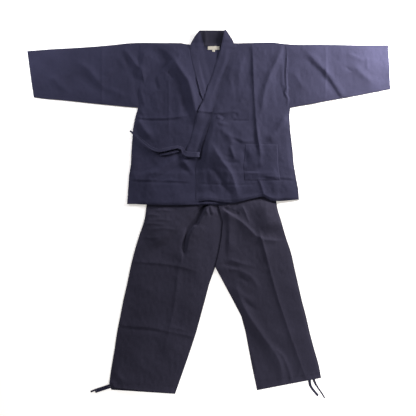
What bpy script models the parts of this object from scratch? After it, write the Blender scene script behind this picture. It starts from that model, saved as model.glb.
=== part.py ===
"""Samue, the Japanese work set of a wrap jacket and trousers, laid out on a flat surface.

Metres. +X is the wearer's left, +Y runs from the cuffs of the legs to the collar, +Z is up.
The origin is on the surface, under the middle of the set. Each piece is a wall of cloth that is
laid on the pieces before it: trousers first, then the jacket's back, sleeves, fronts and collar.
"""

import bpy
import numpy as np
from mathutils import Vector
from mathutils.bvhtree import BVHTree

# Cloth and seams
CLOTH = 0.0015        # one layer
BAND = 0.0022         # collar and ties, folded double
GAP = 0.0003          # between two pieces, at seams and between layers
PUFF = 0.0018         # how far a top layer stands off the layer below
PUFF_REACH = 0.025    # distance from a seam over which it comes up
CELL = 0.030          # longest side of a facet
BAND_CELL = 0.028     # the same, along the collar

# How far round each point the cloth feels what lies below it
PANEL_REACH = 0.042
BAND_REACH = 0.032
TAPE_REACH = 0.015
TIE_REACH = 0.012
PATCH_REACH = 0.002
COVER_FADE = 0.040    # folds fade over this length where another layer lies on top

# Points across or along a piece
UNDER_COLUMNS = 12
BAND_COLUMNS = 4
COLLAR_COLUMNS = 6
SLEEVE_COLUMNS = 9
LEG_BACK_COLUMNS = 5
LEG_FRONT_COLUMNS = 9
LONG_TIE_STEPS = 21
SHORT_TIE_STEPS = 6
TAPE_STEPS = 8

# Jacket, laid with its hem across y = 0
SHOULDER_Y = 0.684
NECK_Y = 0.671        # seam of the back and the collar
HEM_BLEND = 0.080     # rows this near the hem follow its line
SHOULDER_BLEND = 0.060
POCKET_LOW = 0.098
POCKET_HIGH = 0.247
POCKET_SHARES = (0.479, 0.841)   # its sides, as shares of the panel's width
TIE_WIDTH = 0.014
SHORT_TIE_WIDTH = 0.010
LABEL_THICKNESS = 0.0010
LABEL_SIZE = (0.049, 0.015)
LABEL_CENTRE = (0.0235, 0.6605)
TAB_SIZE = (0.011, 0.008)
TAB_CENTRE = (0.023, 0.6485)

# Trousers
WAIST_Y = 0.120
COVERED_Y = -0.012    # the jacket covers the legs above this
CUFF_LIP = 0.005      # the back of a cuff shows this far past its front
TAPE_WIDTH = 0.007
TAPE_THICKNESS = 0.0018

NAVY = (0.030, 0.030, 0.072, 1.0)
LIGHT_NAVY = (0.038, 0.038, 0.088, 1.0)
WHITE = (0.80, 0.79, 0.74, 1.0)


def table(columns, *rows):
    """A short table whose columns are read by name."""
    return np.array(list(rows), dtype=[(name, float) for name in columns.split()])


# Side seams, then the armhole seams from the underarm up
SIDES = table(
    "y left right",
    (0.000, -0.323, 0.364),
    (0.067, -0.320, 0.361),
    (0.117, -0.318, 0.353),
    (0.166, -0.311, 0.346),
    (0.216, -0.310, 0.343),
    (0.316, -0.305, 0.334),
    (0.367, -0.296, 0.332),
    (0.403, -0.285, 0.335),
    (0.684, -0.289, 0.321),
)
SHOULDER = table(
    "x y",
    (-0.289, 0.684),
    (-0.114, 0.683),
    (-0.073, 0.675),
    (0.107, 0.682),
    (0.268, 0.686),
    (0.321, 0.679),
)
# The back's top edge dips to the seam of the collar
BACK_TOP = table(
    "x y",
    (-0.289, 0.684),
    (-0.114, 0.683),
    (-0.073, NECK_Y - GAP),
    (0.106, NECK_Y - GAP),
    (0.140, 0.683),
    (0.321, 0.680),
)
HEMS = table(
    "x back under over",
    (-0.323, 0.004, 0.005, 0.011),
    (-0.232, 0.003, 0.000, 0.011),
    (-0.128, 0.000, -0.002, 0.011),
    (-0.048, -0.002, 0.000, 0.011),
    (0.004, -0.002, 0.002, 0.016),
    (0.068, -0.001, 0.004, 0.008),
    (0.124, 0.013, 0.004, 0.012),
    (0.184, 0.028, 0.004, 0.026),
    (0.222, 0.034, 0.004, 0.032),
    (0.264, 0.017, 0.004, 0.015),
    (0.364, 0.022, 0.004, 0.022),
)
# Front edges: the under front (wearer's right) runs on below the over front
UNDER_EDGE = table(
    "y x",
    (0.000, 0.075),
    (0.150, 0.075),
    (0.208, 0.062),
    (0.320, 0.028),
    (0.399, 0.002),
    (0.452, -0.021),
    (0.536, -0.043),
    (0.596, -0.057),
    (0.675, -0.067),
)
OVER_EDGE = table(
    "y x",
    (0.000, -0.048),
    (0.152, -0.049),
    (0.190, -0.039),
    (0.274, -0.020),
    (0.369, 0.007),
    (0.471, 0.038),
    (0.549, 0.059),
    (0.601, 0.084),
    (0.660, 0.101),
    (0.682, 0.101),
)
# Collar stretches, as rows across the band
RIGHT_BAND = table(
    "y outer inner",
    (0.731, -0.037, -0.034),
    (0.712, -0.053, -0.028),
    (0.675, -0.073, -0.017),
    (0.640, -0.072, -0.012),
    (0.596, -0.063, -0.005),
    (0.536, -0.049, 0.012),
    (0.489, -0.037, 0.022),
    (0.452, -0.027, 0.032),
    (0.399, -0.004, 0.056),
    (0.320, 0.022, 0.080),
    (0.208, 0.056, 0.114),
)
LEFT_BAND = table(
    "y outer inner",
    (0.734, 0.073, 0.069),
    (0.719, 0.085, 0.066),
    (0.682, 0.107, 0.058),
    (0.650, 0.103, 0.051),
    (0.601, 0.090, 0.033),
    (0.549, 0.065, 0.017),
    (0.521, 0.057, 0.008),
    (0.471, 0.044, -0.007),
    (0.441, 0.036, -0.016),
    (0.382, 0.017, -0.042),
    (0.331, 0.004, -0.057),
    (0.274, -0.014, -0.071),
    (0.235, -0.027, -0.084),
    (0.193, -0.033, -0.095),
)
BACK_COLLAR = table(
    "y left right",
    (0.7345, -0.036, 0.072),
    (0.7100, -0.054, 0.091),
    (0.6710, -0.073, 0.106),
)
# Sleeves, as sections from the armhole to the cuff
RIGHT_SLEEVE = table(
    "top_x top_y low_x low_y",
    (-0.2893, 0.684, -0.2853, 0.403),
    (-0.338, 0.681, -0.333, 0.407),
    (-0.388, 0.675, -0.382, 0.412),
    (-0.438, 0.670, -0.432, 0.417),
    (-0.500, 0.665, -0.490, 0.423),
    (-0.562, 0.661, -0.550, 0.430),
    (-0.636, 0.657, -0.610, 0.436),
    (-0.700, 0.652, -0.668, 0.441),
    (-0.749, 0.648, -0.714, 0.448),
)
LEFT_SLEEVE = table(
    "top_x top_y low_x low_y",
    (0.3213, 0.679, 0.3353, 0.403),
    (0.370, 0.676, 0.382, 0.412),
    (0.434, 0.676, 0.428, 0.420),
    (0.490, 0.676, 0.477, 0.430),
    (0.560, 0.675, 0.553, 0.444),
    (0.633, 0.674, 0.625, 0.458),
    (0.690, 0.674, 0.690, 0.471),
    (0.748, 0.675, 0.749, 0.483),
)
# Legs, as sections from the waist to the cuff; the inner ends share the crotch seam
RIGHT_LEG = table(
    "outer_x outer_y inner_x inner_y",
    (-0.232, WAIST_Y, 0.0197, WAIST_Y),
    (-0.246, -0.006, 0.0437, -0.012),
    (-0.254, -0.063, 0.0597, -0.065),
    (-0.274, -0.127, 0.0547, -0.130),
    (-0.292, -0.191, 0.0437, -0.190),
    (-0.306, -0.254, 0.0287, -0.248),
    (-0.318, -0.317, 0.004, -0.317),
    (-0.331, -0.379, -0.012, -0.379),
    (-0.342, -0.441, -0.029, -0.441),
    (-0.353, -0.503, -0.046, -0.503),
    (-0.361, -0.564, -0.066, -0.564),
    (-0.370, -0.624, -0.087, -0.625),
    (-0.377, -0.677, -0.108, -0.684),
    (-0.378, -0.698, -0.118, -0.712),
    (-0.370, -0.710, -0.126, -0.733),
)
LEFT_LEG = table(
    "outer_x outer_y inner_x inner_y",
    (0.262, WAIST_Y, 0.020, WAIST_Y),
    (0.276, -0.006, 0.044, -0.012),
    (0.291, -0.063, 0.060, -0.065),
    (0.308, -0.127, 0.055, -0.130),
    (0.328, -0.191, 0.044, -0.190),
    (0.341, -0.254, 0.029, -0.248),
    (0.354, -0.317, 0.065, -0.317),
    (0.367, -0.379, 0.098, -0.379),
    (0.382, -0.441, 0.130, -0.441),
    (0.395, -0.503, 0.146, -0.503),
    (0.410, -0.564, 0.157, -0.564),
    (0.426, -0.624, 0.168, -0.624),
    (0.434, -0.672, 0.187, -0.717),
)
# The largest folds of each top layer: a soft ridge through three points
FOLD_COLUMNS = "x0 y0 x1 y1 x2 y2 width height"
UNDER_FOLDS = table(
    FOLD_COLUMNS,
    (-0.175, 0.654, -0.120, 0.585, -0.085, 0.500, 0.026, 0.0060),
    (-0.255, 0.546, -0.211, 0.579, -0.170, 0.605, 0.020, 0.0035),
    (-0.270, 0.560, -0.245, 0.525, -0.219, 0.500, 0.020, 0.0040),
    (-0.275, 0.340, -0.252, 0.314, -0.227, 0.290, 0.020, 0.0040),
    (-0.135, 0.175, -0.165, 0.155, -0.195, 0.133, 0.020, 0.0040),
)
OVER_FOLDS = table(
    FOLD_COLUMNS,
    (0.183, 0.650, 0.188, 0.437, 0.206, 0.210, 0.020, 0.0040),
    (0.294, 0.645, 0.264, 0.579, 0.225, 0.420, 0.026, 0.0040),
    (0.310, 0.355, 0.293, 0.327, 0.264, 0.285, 0.022, 0.0045),
    (0.016, 0.239, 0.061, 0.166, 0.110, 0.060, 0.022, 0.0065),
    (0.205, 0.085, 0.214, 0.062, 0.225, 0.037, 0.018, 0.0035),
)
RIGHT_SLEEVE_FOLDS = table(
    FOLD_COLUMNS,
    (-0.333, 0.640, -0.318, 0.605, -0.301, 0.583, 0.020, 0.0040),
    (-0.518, 0.579, -0.478, 0.540, -0.438, 0.500, 0.022, 0.0045),
    (-0.630, 0.523, -0.596, 0.489, -0.575, 0.470, 0.020, 0.0035),
)
LEFT_SLEEVE_FOLDS = table(
    FOLD_COLUMNS,
    (0.398, 0.650, 0.482, 0.557, 0.545, 0.470, 0.024, 0.0060),
    (0.603, 0.575, 0.637, 0.544, 0.678, 0.500, 0.020, 0.0040),
)
RIGHT_LEG_FOLDS = table(
    FOLD_COLUMNS,
    (-0.030, -0.060, -0.065, -0.097, -0.092, -0.163, 0.020, 0.0050),
    (-0.125, -0.109, -0.163, -0.129, -0.200, -0.153, 0.022, 0.0040),
    (-0.100, -0.206, -0.124, -0.315, -0.160, -0.500, 0.018, 0.0045),
)
LEFT_LEG_FOLDS = table(
    FOLD_COLUMNS,
    (0.090, -0.050, 0.180, -0.105, 0.285, -0.150, 0.022, 0.0060),
    (0.202, -0.170, 0.250, -0.310, 0.303, -0.466, 0.018, 0.0050),
    (0.095, -0.335, 0.200, -0.497, 0.305, -0.680, 0.024, 0.0070),
)
# The jacket's ties and the free ends of the cuff tapes: points chosen along each one's middle
LONG_TIE = ((-0.034, 0.204), (-0.088, 0.207), (-0.105, 0.229), (-0.128, 0.235), (-0.160, 0.227),
            (-0.193, 0.220), (-0.226, 0.229), (-0.250, 0.247), (-0.270, 0.265), (-0.299, 0.291),
            (-0.318, 0.306))
SHORT_TIE = ((-0.118, 0.222), (-0.145, 0.213), (-0.170, 0.208), (-0.193, 0.205))
CUFF_TAPES = {
    "cuff_tape_right_1": ((-0.366, -0.699), (-0.381, -0.703), (-0.399, -0.709),
                          (-0.418, -0.715), (-0.433, -0.720), (-0.449, -0.726)),
    "cuff_tape_right_2": ((-0.364, -0.7065), (-0.379, -0.7105), (-0.3965, -0.7162),
                          (-0.4155, -0.7222), (-0.425, -0.7253), (-0.431, -0.7272)),
    "cuff_tape_left_1": ((0.3885, -0.673), (0.390, -0.690), (0.392, -0.703), (0.398, -0.714),
                         (0.408, -0.727), (0.421, -0.741)),
    "cuff_tape_left_2": ((0.4025, -0.671), (0.407, -0.685), (0.412, -0.697), (0.424, -0.716),
                         (0.436, -0.733), (0.446, -0.750)),
}

laid = []             # what already lies on the surface, as trees for finding its height


def clear_scene():
    for item in list(bpy.data.objects):
        bpy.data.objects.remove(item, do_unlink=True)


def finish(name, color, roughness):
    """A plain cloth finish."""
    material = bpy.data.materials.new(name)
    material.use_nodes = True
    shader = material.node_tree.nodes["Principled BSDF"]
    shader.inputs["Base Color"].default_value = color
    shader.inputs["Roughness"].default_value = roughness
    shader.inputs["Metallic"].default_value = 0.0
    return material


def make_object(name, points, faces, color=NAVY):
    """One closed piece, kept as something that later pieces can lie on."""
    mesh = bpy.data.meshes.new(name)
    mesh.from_pydata([tuple(point) for point in points], [], faces)
    mesh.materials.append(finish(name, color, 0.9))
    item = bpy.data.objects.new(name, mesh)
    bpy.context.scene.collection.objects.link(item)
    laid.append(BVHTree.FromPolygons([Vector(point) for point in points], faces))


def top_at(x, y, below):
    """Height of the highest of the pieces below a point, 0 where the surface is bare."""
    start = Vector((x, y, 1.0))
    hits = [tree.ray_cast(start, Vector((0.0, 0.0, -1.0)))[0] for tree in below]
    return max([hit.z for hit in hits if hit is not None], default=0.0)


def rest(x, y, reach, below=laid):
    """Where cloth comes to lie at each point: a gap above all that is within its reach."""
    height = np.zeros(x.shape)
    around = [(0.0, 0.0)]
    for part_of_reach in (0.35, 0.7, 1.0):
        for angle in np.linspace(0.0, 2.0 * np.pi, 12, endpoint=False):
            step = part_of_reach * reach
            around.append((step * np.cos(angle), step * np.sin(angle)))
    for index in np.ndindex(x.shape):
        top = max(top_at(x[index] + dx, y[index] + dy, below) for dx, dy in around)
        height[index] = top + GAP if top > 0.0 else 0.0
    return height


def fold_lift(x, y, folds):
    """How far the ridges of a fold table raise the cloth at each point."""
    lift = np.zeros(x.shape)
    t = np.linspace(0.0, 1.0, 17)
    first, middle, last = (1 - t) * (1 - 2 * t), 4 * t * (1 - t), t * (2 * t - 1)
    fade = 0.3 + 0.7 * np.sin(np.pi * t)
    for fold in folds:
        line_x = first * fold["x0"] + middle * fold["x1"] + last * fold["x2"]
        line_y = first * fold["y0"] + middle * fold["y1"] + last * fold["y2"]
        away = np.hypot(x[..., None] - line_x, y[..., None] - line_y)
        ridge = fade * np.exp(-((away / fold["width"]) ** 2))
        lift = np.maximum(lift, fold["height"] * ridge.max(axis=-1))
    return lift


def puff(distance):
    """A top layer rises away from a seam."""
    return PUFF * (1.0 - np.exp(-np.maximum(distance, 0.0) / PUFF_REACH))


def strips(rows, columns):
    """Two triangles for each cell of a lattice, facing up."""
    faces = []
    for row in range(rows - 1):
        for column in range(columns - 1):
            a = row * columns + column
            b, c, d = a + 1, a + columns + 1, a + columns
            faces += [(a, b, c), (a, c, d)]
    return faces


def panel(name, x, y, low, thickness=CLOTH, color=NAVY):
    """A wall of cloth on a lattice of points whose rows run to +X and climb to +Y."""
    rows, columns = x.shape
    count = rows * columns
    high = low + thickness
    points = [(x[i], y[i], z[i]) for z in (low, high) for i in np.ndindex(x.shape)]
    up = strips(rows, columns)
    faces = [tuple(v + count for v in face) for face in up] + [face[::-1] for face in up]
    rim = [(0, column) for column in range(columns - 1)]
    rim += [(row, columns - 1) for row in range(rows - 1)]
    rim += [(rows - 1, column) for column in range(columns - 1, 0, -1)]
    rim += [(row, 0) for row in range(rows - 1, 0, -1)]
    ring = [row * columns + column for row, column in rim]
    for a, b in zip(ring, ring[1:] + ring[:1]):
        faces += [(a, b, b + count), (a, b + count, a + count)]
    make_object(name, points, faces, color)
    return high


def steps(values, longest):
    """The values, with even steps between them that are no longer than asked."""
    out = [values[0]]
    for start, stop in zip(values[:-1], values[1:]):
        count = max(1, int(np.ceil(abs(stop - start) / longest - 1e-6)))
        out += list(start + (stop - start) * np.arange(1, count + 1) / count)
    return np.array(out)


def read(rows, key, column, at):
    """A column of a table, straight between its rows."""
    order = np.argsort(rows[key])
    return np.interp(at, rows[key][order], rows[column][order])


def jacket_lattice(row_heights, left, right, across, hem, shoulder):
    """Rows of a jacket panel between two edges; the end rows follow its hem and shoulder."""
    x = left[:, None] + (right - left)[:, None] * across
    y = np.repeat(row_heights[:, None], x.shape[1], axis=1)
    near_hem = np.clip(1.0 - row_heights / HEM_BLEND, 0.0, 1.0)[:, None]
    near_top = np.clip((row_heights - SHOULDER_Y) / SHOULDER_BLEND + 1.0, 0.0, 1.0)[:, None]
    return x, y + near_hem * hem(x) + near_top * (shoulder(x) - SHOULDER_Y)


def body_rows(longest):
    knots = [0.0, POCKET_LOW, POCKET_HIGH, SIDES["y"][-2], SHOULDER_Y]
    return steps(np.array(knots), longest)


def make_jacket_back():
    """One layer, flat but for its climb over the top of the trousers."""
    knots = [0.0, WAIST_Y, WAIST_Y + 3 * CELL, SIDES["y"][-2], SHOULDER_Y]
    heights = steps(np.array(knots), 2 * CELL)
    heights = np.union1d(heights, WAIST_Y + CELL * np.arange(0, 4))
    left = read(SIDES, "y", "left", heights)
    right = read(SIDES, "y", "right", heights)
    # narrow columns beside the trousers, and one at each corner of the neck
    corners = (BACK_TOP["x"] - left[-1]) / (right[-1] - left[-1])
    across = np.union1d(np.append(0.04 * np.arange(4), 1.0 - 0.04 * np.arange(4)), corners.round(6))
    x, y = jacket_lattice(heights, left, right, across,
                          lambda at: read(HEMS, "x", "back", at),
                          lambda at: read(BACK_TOP, "x", "y", at))
    panel("jacket_back", x, y, rest(x, y, PANEL_REACH))


def make_under_front():
    """The wearer's right front, which the other front covers past the middle."""
    heights = body_rows(CELL)
    left = read(SIDES, "y", "left", heights)
    right = read(UNDER_EDGE, "y", "x", heights)
    across = np.linspace(0.0, 1.0, UNDER_COLUMNS)
    x, y = jacket_lattice(heights, left, right, across,
                          lambda at: read(HEMS, "x", "under", at),
                          lambda at: read(SHOULDER, "x", "y", at))
    lift = fold_lift(x, y, UNDER_FOLDS) + puff(x - left[:, None])
    lift *= np.clip((read(LEFT_BAND, "y", "inner", y) - x) / COVER_FADE, 0.0, 1.0)
    panel("jacket_front_right", x, y, rest(x, y, PANEL_REACH) + lift)


def make_over_front():
    """The wearer's left front, with the patch pocket on it."""
    heights = body_rows(CELL)
    left = read(OVER_EDGE, "y", "x", heights)
    right = read(SIDES, "y", "right", heights)
    inner, outer = POCKET_SHARES
    across = np.concatenate([np.linspace(0.0, inner, 7), np.linspace(inner, outer, 5)[1:],
                             np.linspace(outer, 1.0, 3)[1:]])
    x, y = jacket_lattice(heights, left, right, across,
                          lambda at: read(HEMS, "x", "over", at),
                          lambda at: read(SHOULDER, "x", "y", at))
    lift = fold_lift(x, y, OVER_FOLDS) + puff(right[:, None] - x)
    high = panel("jacket_front_left", x, y, rest(x, y, PANEL_REACH) + lift)
    # the pocket takes the panel's own points, moved out by a gap
    low_row, high_row = np.searchsorted(heights, [POCKET_LOW - GAP, POCKET_HIGH - GAP])
    pocket = (slice(low_row, high_row + 1), (across >= inner) & (across <= outer))
    panel("pocket", x[pocket], y[pocket], high[pocket] + GAP)


def make_band(name, rows, side):
    """A stretch of collar, laid over the edge of its front; side is its outer side in X."""
    heights = steps(rows["y"][::-1], BAND_CELL)
    outer = read(rows, "y", "outer", heights)
    inner = read(rows, "y", "inner", heights)
    left, right = (outer, inner) if side < 0 else (inner, outer)
    x = left[:, None] + (right - left)[:, None] * np.linspace(0.0, 1.0, BAND_COLUMNS)
    y = np.repeat(heights[:, None], BAND_COLUMNS, axis=1)
    panel(name, x, y, rest(x, y, BAND_REACH), BAND)


def make_back_collar():
    """The stretch behind the neck, which lies past the back's top edge."""
    rows = BACK_COLLAR[::-1]
    shares = np.linspace(0.0, 1.0, COLLAR_COLUMNS)
    x = rows["left"][:, None] + (rows["right"] - rows["left"])[:, None] * shares
    y = np.repeat(rows["y"][:, None], COLLAR_COLUMNS, axis=1)
    panel("collar_back", x, y, np.zeros(x.shape), BAND)


def make_sleeve(name, sections, folds):
    """A sleeve is one piece, folded at its top and sewn below: a flat tube, open at both ends."""
    knots = np.arange(len(sections))
    at = steps(knots, 0.5)
    top = np.stack([np.interp(at, knots, sections[key]) for key in ("top_x", "top_y")], axis=1)
    low = np.stack([np.interp(at, knots, sections[key]) for key in ("low_x", "low_y")], axis=1)
    width = np.linalg.norm(top - low, axis=1)[:, None]
    shares = np.linspace(0.0, 1.0, SLEEVE_COLUMNS)[None, :]
    inset = np.clip(shares, CLOTH / width, 1.0 - CLOTH / width)
    inner_gap = 2 * GAP
    rings = []
    for share, wall in ((np.repeat(shares, len(at), axis=0), 0.0), (inset, CLOTH)):
        x = low[:, :1] + (top - low)[:, :1] * share
        y = low[:, 1:] + (top - low)[:, 1:] * share
        lift = fold_lift(x, y, folds) + puff(np.minimum(share, 1.0 - share) * width)
        upper = 2 * CLOTH + inner_gap + lift - wall
        lower = np.full(x.shape, wall)
        rings.append(np.stack([np.concatenate([x, x[:, ::-1]], axis=1),
                               np.concatenate([y, y[:, ::-1]], axis=1),
                               np.concatenate([lower, upper[:, ::-1]], axis=1)], axis=-1))
    around = 2 * SLEEVE_COLUMNS
    sections_made = len(at)
    points = [tuple(point) for ring in rings for row in ring for point in row]
    outward = -1 if top[-1, 0] > top[0, 0] else 1
    faces = []

    def quad(a, b, c, d, turn):
        face = (a, b, c, d)[::turn]
        faces.extend([(face[0], face[1], face[2]), (face[0], face[2], face[3])])

    for k in range(around):
        after = (k + 1) % around
        for i in range(sections_made - 1):
            a, b = i * around + k, i * around + after
            c, d = b + around, a + around
            quad(a, b, c, d, -outward)
            shift = sections_made * around
            quad(a + shift, b + shift, c + shift, d + shift, outward)
        shift = sections_made * around
        last = (sections_made - 1) * around
        quad(k, after, after + shift, k + shift, outward)
        quad(last + k, last + after, last + after + shift, last + k + shift, -outward)
    make_object(name, points, faces)


def leg_lattice(sections, columns, rows_each, lip):
    """Points of a leg panel from its cuff up to its waist, its rows running to +X."""
    knots = np.arange(len(sections))
    at = steps(knots, 1.0 / rows_each)
    if rows_each > 1:
        at = np.union1d(at, [0.25, 0.75])      # the first section is the longest
    outer = np.stack([np.interp(at, knots, sections[key]) for key in ("outer_x", "outer_y")], 1)
    inner = np.stack([np.interp(at, knots, sections[key]) for key in ("inner_x", "inner_y")], 1)
    outer, inner = outer[::-1], inner[::-1]
    if lip:
        along = outer[0] - outer[1] + inner[0] - inner[1]
        outer[0] += lip * along / np.linalg.norm(along)
        inner[0] += lip * along / np.linalg.norm(along)
    left, right = (outer, inner) if outer[0, 0] < inner[0, 0] else (inner, outer)
    shares = np.linspace(0.0, 1.0, columns)[None, :, None]
    grid = left[:, None, :] + (right - left)[:, None, :] * shares
    side = np.linalg.norm(right - left, axis=1)[:, None] * np.minimum(shares, 1 - shares)[..., 0]
    return grid[..., 0], grid[..., 1], side


def make_leg(side, sections, folds):
    """A leg's back and front panels, the front standing off it a little."""
    x, y, edge = leg_lattice(sections, LEG_BACK_COLUMNS, 1, CUFF_LIP)
    panel("leg_back_" + side, x, y, np.zeros(x.shape))
    x, y, edge = leg_lattice(sections, LEG_FRONT_COLUMNS, 2, 0.0)
    lift = fold_lift(x, y, folds) + puff(edge)
    lift *= np.clip((COVERED_Y - y) / COVER_FADE, 0.0, 1.0)
    panel("leg_front_" + side, x, y, CLOTH + GAP + lift)


def smooth_route(points, count):
    """Points at even steps of a smooth curve through a route."""
    route = np.array(points)
    ends = np.vstack([2 * route[0] - route[1], route, 2 * route[-1] - route[-2]])
    out = []
    for at in np.linspace(0.0, len(route) - 1.0, count):
        i = min(int(at), len(route) - 2)
        t = at - i
        a, b, c, d = ends[i:i + 4]
        out.append(0.5 * (2 * b + (c - a) * t + (2 * a - 5 * b + 4 * c - d) * t ** 2
                          + (3 * b - a - 3 * c + d) * t ** 3))
    return np.array(out)


def make_strip(name, points, width, thickness, count, reach, below=laid):
    """A flat tie or tape, lying over whatever it crosses."""
    route = smooth_route(points, count)[::-1]
    ahead = np.gradient(route, axis=0)
    ahead /= np.linalg.norm(ahead, axis=1)[:, None]
    aside = np.stack([-ahead[:, 1], ahead[:, 0]], axis=1) * width / 2
    grid = np.stack([route + aside, route, route - aside], axis=1)
    x, y = grid[..., 0], grid[..., 1]
    panel(name, x, y, rest(x, y, reach, below), thickness, LIGHT_NAVY)


def make_patch(name, centre, size):
    """A small flat rectangle on the back's inside."""
    x, y = np.meshgrid(centre[0] + size[0] * np.array([-0.5, 0.0, 0.5]),
                       centre[1] + size[1] * np.array([-0.5, 0.5]))
    panel(name, x, y, rest(x, y, PATCH_REACH), LABEL_THICKNESS, WHITE)


def main():
    clear_scene()
    make_leg("right", RIGHT_LEG, RIGHT_LEG_FOLDS)
    make_leg("left", LEFT_LEG, LEFT_LEG_FOLDS)
    legs = list(laid)
    for name, points in CUFF_TAPES.items():
        make_strip(name, points, TAPE_WIDTH, TAPE_THICKNESS, TAPE_STEPS, TAPE_REACH, legs)
    make_jacket_back()
    make_back_collar()
    make_sleeve("sleeve_right", RIGHT_SLEEVE, RIGHT_SLEEVE_FOLDS)
    make_sleeve("sleeve_left", LEFT_SLEEVE, LEFT_SLEEVE_FOLDS)
    make_patch("neck_label", LABEL_CENTRE, LABEL_SIZE)
    make_patch("size_tab", TAB_CENTRE, TAB_SIZE)
    make_under_front()
    make_band("collar_right", RIGHT_BAND, -1)
    make_over_front()
    make_band("collar_left", LEFT_BAND, 1)
    make_strip("tie_right", SHORT_TIE, SHORT_TIE_WIDTH, BAND, SHORT_TIE_STEPS, TIE_REACH)
    make_strip("tie_left", LONG_TIE, TIE_WIDTH, BAND, LONG_TIE_STEPS, TIE_REACH)


main()
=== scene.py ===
import math

import bpy
import numpy as np
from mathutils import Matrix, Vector


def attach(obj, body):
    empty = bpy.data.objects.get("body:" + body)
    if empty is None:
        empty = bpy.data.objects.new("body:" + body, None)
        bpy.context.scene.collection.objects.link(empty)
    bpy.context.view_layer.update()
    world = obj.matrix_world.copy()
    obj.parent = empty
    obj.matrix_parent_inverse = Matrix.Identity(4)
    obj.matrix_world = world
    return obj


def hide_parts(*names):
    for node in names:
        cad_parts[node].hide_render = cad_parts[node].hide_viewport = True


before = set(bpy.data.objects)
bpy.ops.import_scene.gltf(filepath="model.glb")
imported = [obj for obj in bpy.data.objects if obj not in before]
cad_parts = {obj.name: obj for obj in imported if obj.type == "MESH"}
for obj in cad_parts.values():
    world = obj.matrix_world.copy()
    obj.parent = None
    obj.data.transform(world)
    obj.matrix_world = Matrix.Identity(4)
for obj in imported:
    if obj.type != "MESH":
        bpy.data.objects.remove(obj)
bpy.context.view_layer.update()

# Lengths in the tables below are in millimetres, on the same axes as the solids
mm = 0.001
bodyName = "root"

viewing = {"tilt": math.radians(10.0), "distance": 3.02, "width": 0.55, "aimY": -0.012, "sensor": 36.0}


def newObject(name, data):
    thing = bpy.data.objects.new(name, data)
    bpy.context.scene.collection.objects.link(thing)
    return thing


def makeCamera():
    data = bpy.data.cameras.new("camera")
    data.sensor_width = viewing["sensor"]
    data.lens = viewing["sensor"] / viewing["width"]
    camera = newObject("camera", data)
    aim = Vector((0.0, viewing["aimY"], 0.0))
    back = Vector((0.0, -math.sin(viewing["tilt"]), math.cos(viewing["tilt"])))
    camera.location = aim + back * viewing["distance"]
    camera.rotation_euler = (-back).to_track_quat("-Z", "Y").to_euler()
    bpy.context.scene.camera = camera


def curveThrough(points, count):
    # evenly numbered points of a smooth curve through the given ones
    route = np.array(points, float)
    ends = np.vstack([2 * route[0] - route[1], route, 2 * route[-1] - route[-2]])
    at = np.linspace(0.0, len(route) - 1.0, count)
    i = np.minimum(at.astype(int), len(route) - 2)
    t = (at - i)[:, None]
    a, b, c, d = ends[i], ends[i + 1], ends[i + 2], ends[i + 3]
    return 0.5 * (2 * b + (c - a) * t + (2 * a - 5 * b + 4 * c - d) * t ** 2
                  + (3 * b - a - 3 * c + d) * t ** 3)


def stepLengths(line):
    return np.linalg.norm(np.diff(line, axis=0), axis=1)


def runAlong(line):
    # how far along a line each of its points is
    return np.concatenate([[0.0], np.cumsum(stepLengths(line))])


def evenly(line, count):
    # the same line again, with points at equal distances
    run = runAlong(line)
    at = np.linspace(0.0, run[-1], count)
    return np.stack([np.interp(at, run, line[:, k]) for k in range(line.shape[1])], axis=1)


def readBetween(values, where, last):
    # rows that stand evenly for the sections 0 to last, read at any place between
    sections = np.linspace(0, last, len(values))
    return np.stack([np.interp(where, sections, values[:, k]) for k in range(values.shape[1])], axis=1)


def readTable(rows, column, at, smooth=False):
    # a column of a table whose first column is what it is read by
    rows = np.array(sorted(rows), float) * mm
    if smooth:
        rows = curveThrough(rows, 12 * len(rows))
        rows = rows[np.argsort(rows[:, 0])]
    return np.interp(at, rows[:, 0], rows[:, column])


def ramp(value, start, stop):
    t = np.clip((value - start) / (stop - start), 0.0, 1.0)
    return t * t * (3.0 - 2.0 * t)


def least(*distances):
    return np.minimum.reduce(np.broadcast_arrays(*distances))


def nearest(values, wanted):
    return int(np.abs(values - wanted).argmin())


def softNoise(x, y, size, seed):
    # smooth uneven hills, about one size across, from -1 to 1
    grid = np.random.default_rng(seed).uniform(-1.0, 1.0, (64, 64))
    u, v = x / size + 17.3, y / size + 29.1
    i, j = np.floor(u).astype(int), np.floor(v).astype(int)
    s, t = u - i, v - j
    s, t = s * s * s * (s * (6 * s - 15) + 10), t * t * t * (t * (6 * t - 15) + 10)
    corner = [[grid[(j + b) % 64, (i + a) % 64] for a in (0, 1)] for b in (0, 1)]
    low = corner[0][0] * (1 - s) + corner[0][1] * s
    high = corner[1][0] * (1 - s) + corner[1][1] * s
    return low * (1 - t) + high * t


# Distances of the first rows of points from an edge
rimSteps = np.array([0.0, 0.4, 1.0, 1.9, 3.2]) * mm


def spread(length, cell):
    # positions from 0 to length, close together near both ends so that edges are round
    last = rimSteps[-1]
    count = max(2, math.ceil((length - 2 * last) / cell) + 1)
    inner = np.linspace(last, length - last, count)
    return np.concatenate([rimSteps[:-1], inner, length - rimSteps[:-1][::-1]])


def roundEdge(distance, radius):
    # 0 at an edge, 1 from a radius inwards, like a quarter circle
    t = 1.0 - np.clip(distance / radius, 0.0, 1.0)
    return np.sqrt(np.maximum(1.0 - t * t, 0.0))


def softly(distance, reach, radius):
    # an edge distance for which roundEdge gives a slow rise over the reach instead
    rise = ramp(distance, 0.0, reach)
    beyond = 0.01 * np.maximum(distance - reach, 0.0)
    return radius * (1.0 - np.sqrt(np.maximum(1.0 - rise * rise, 0.0))) + beyond


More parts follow.
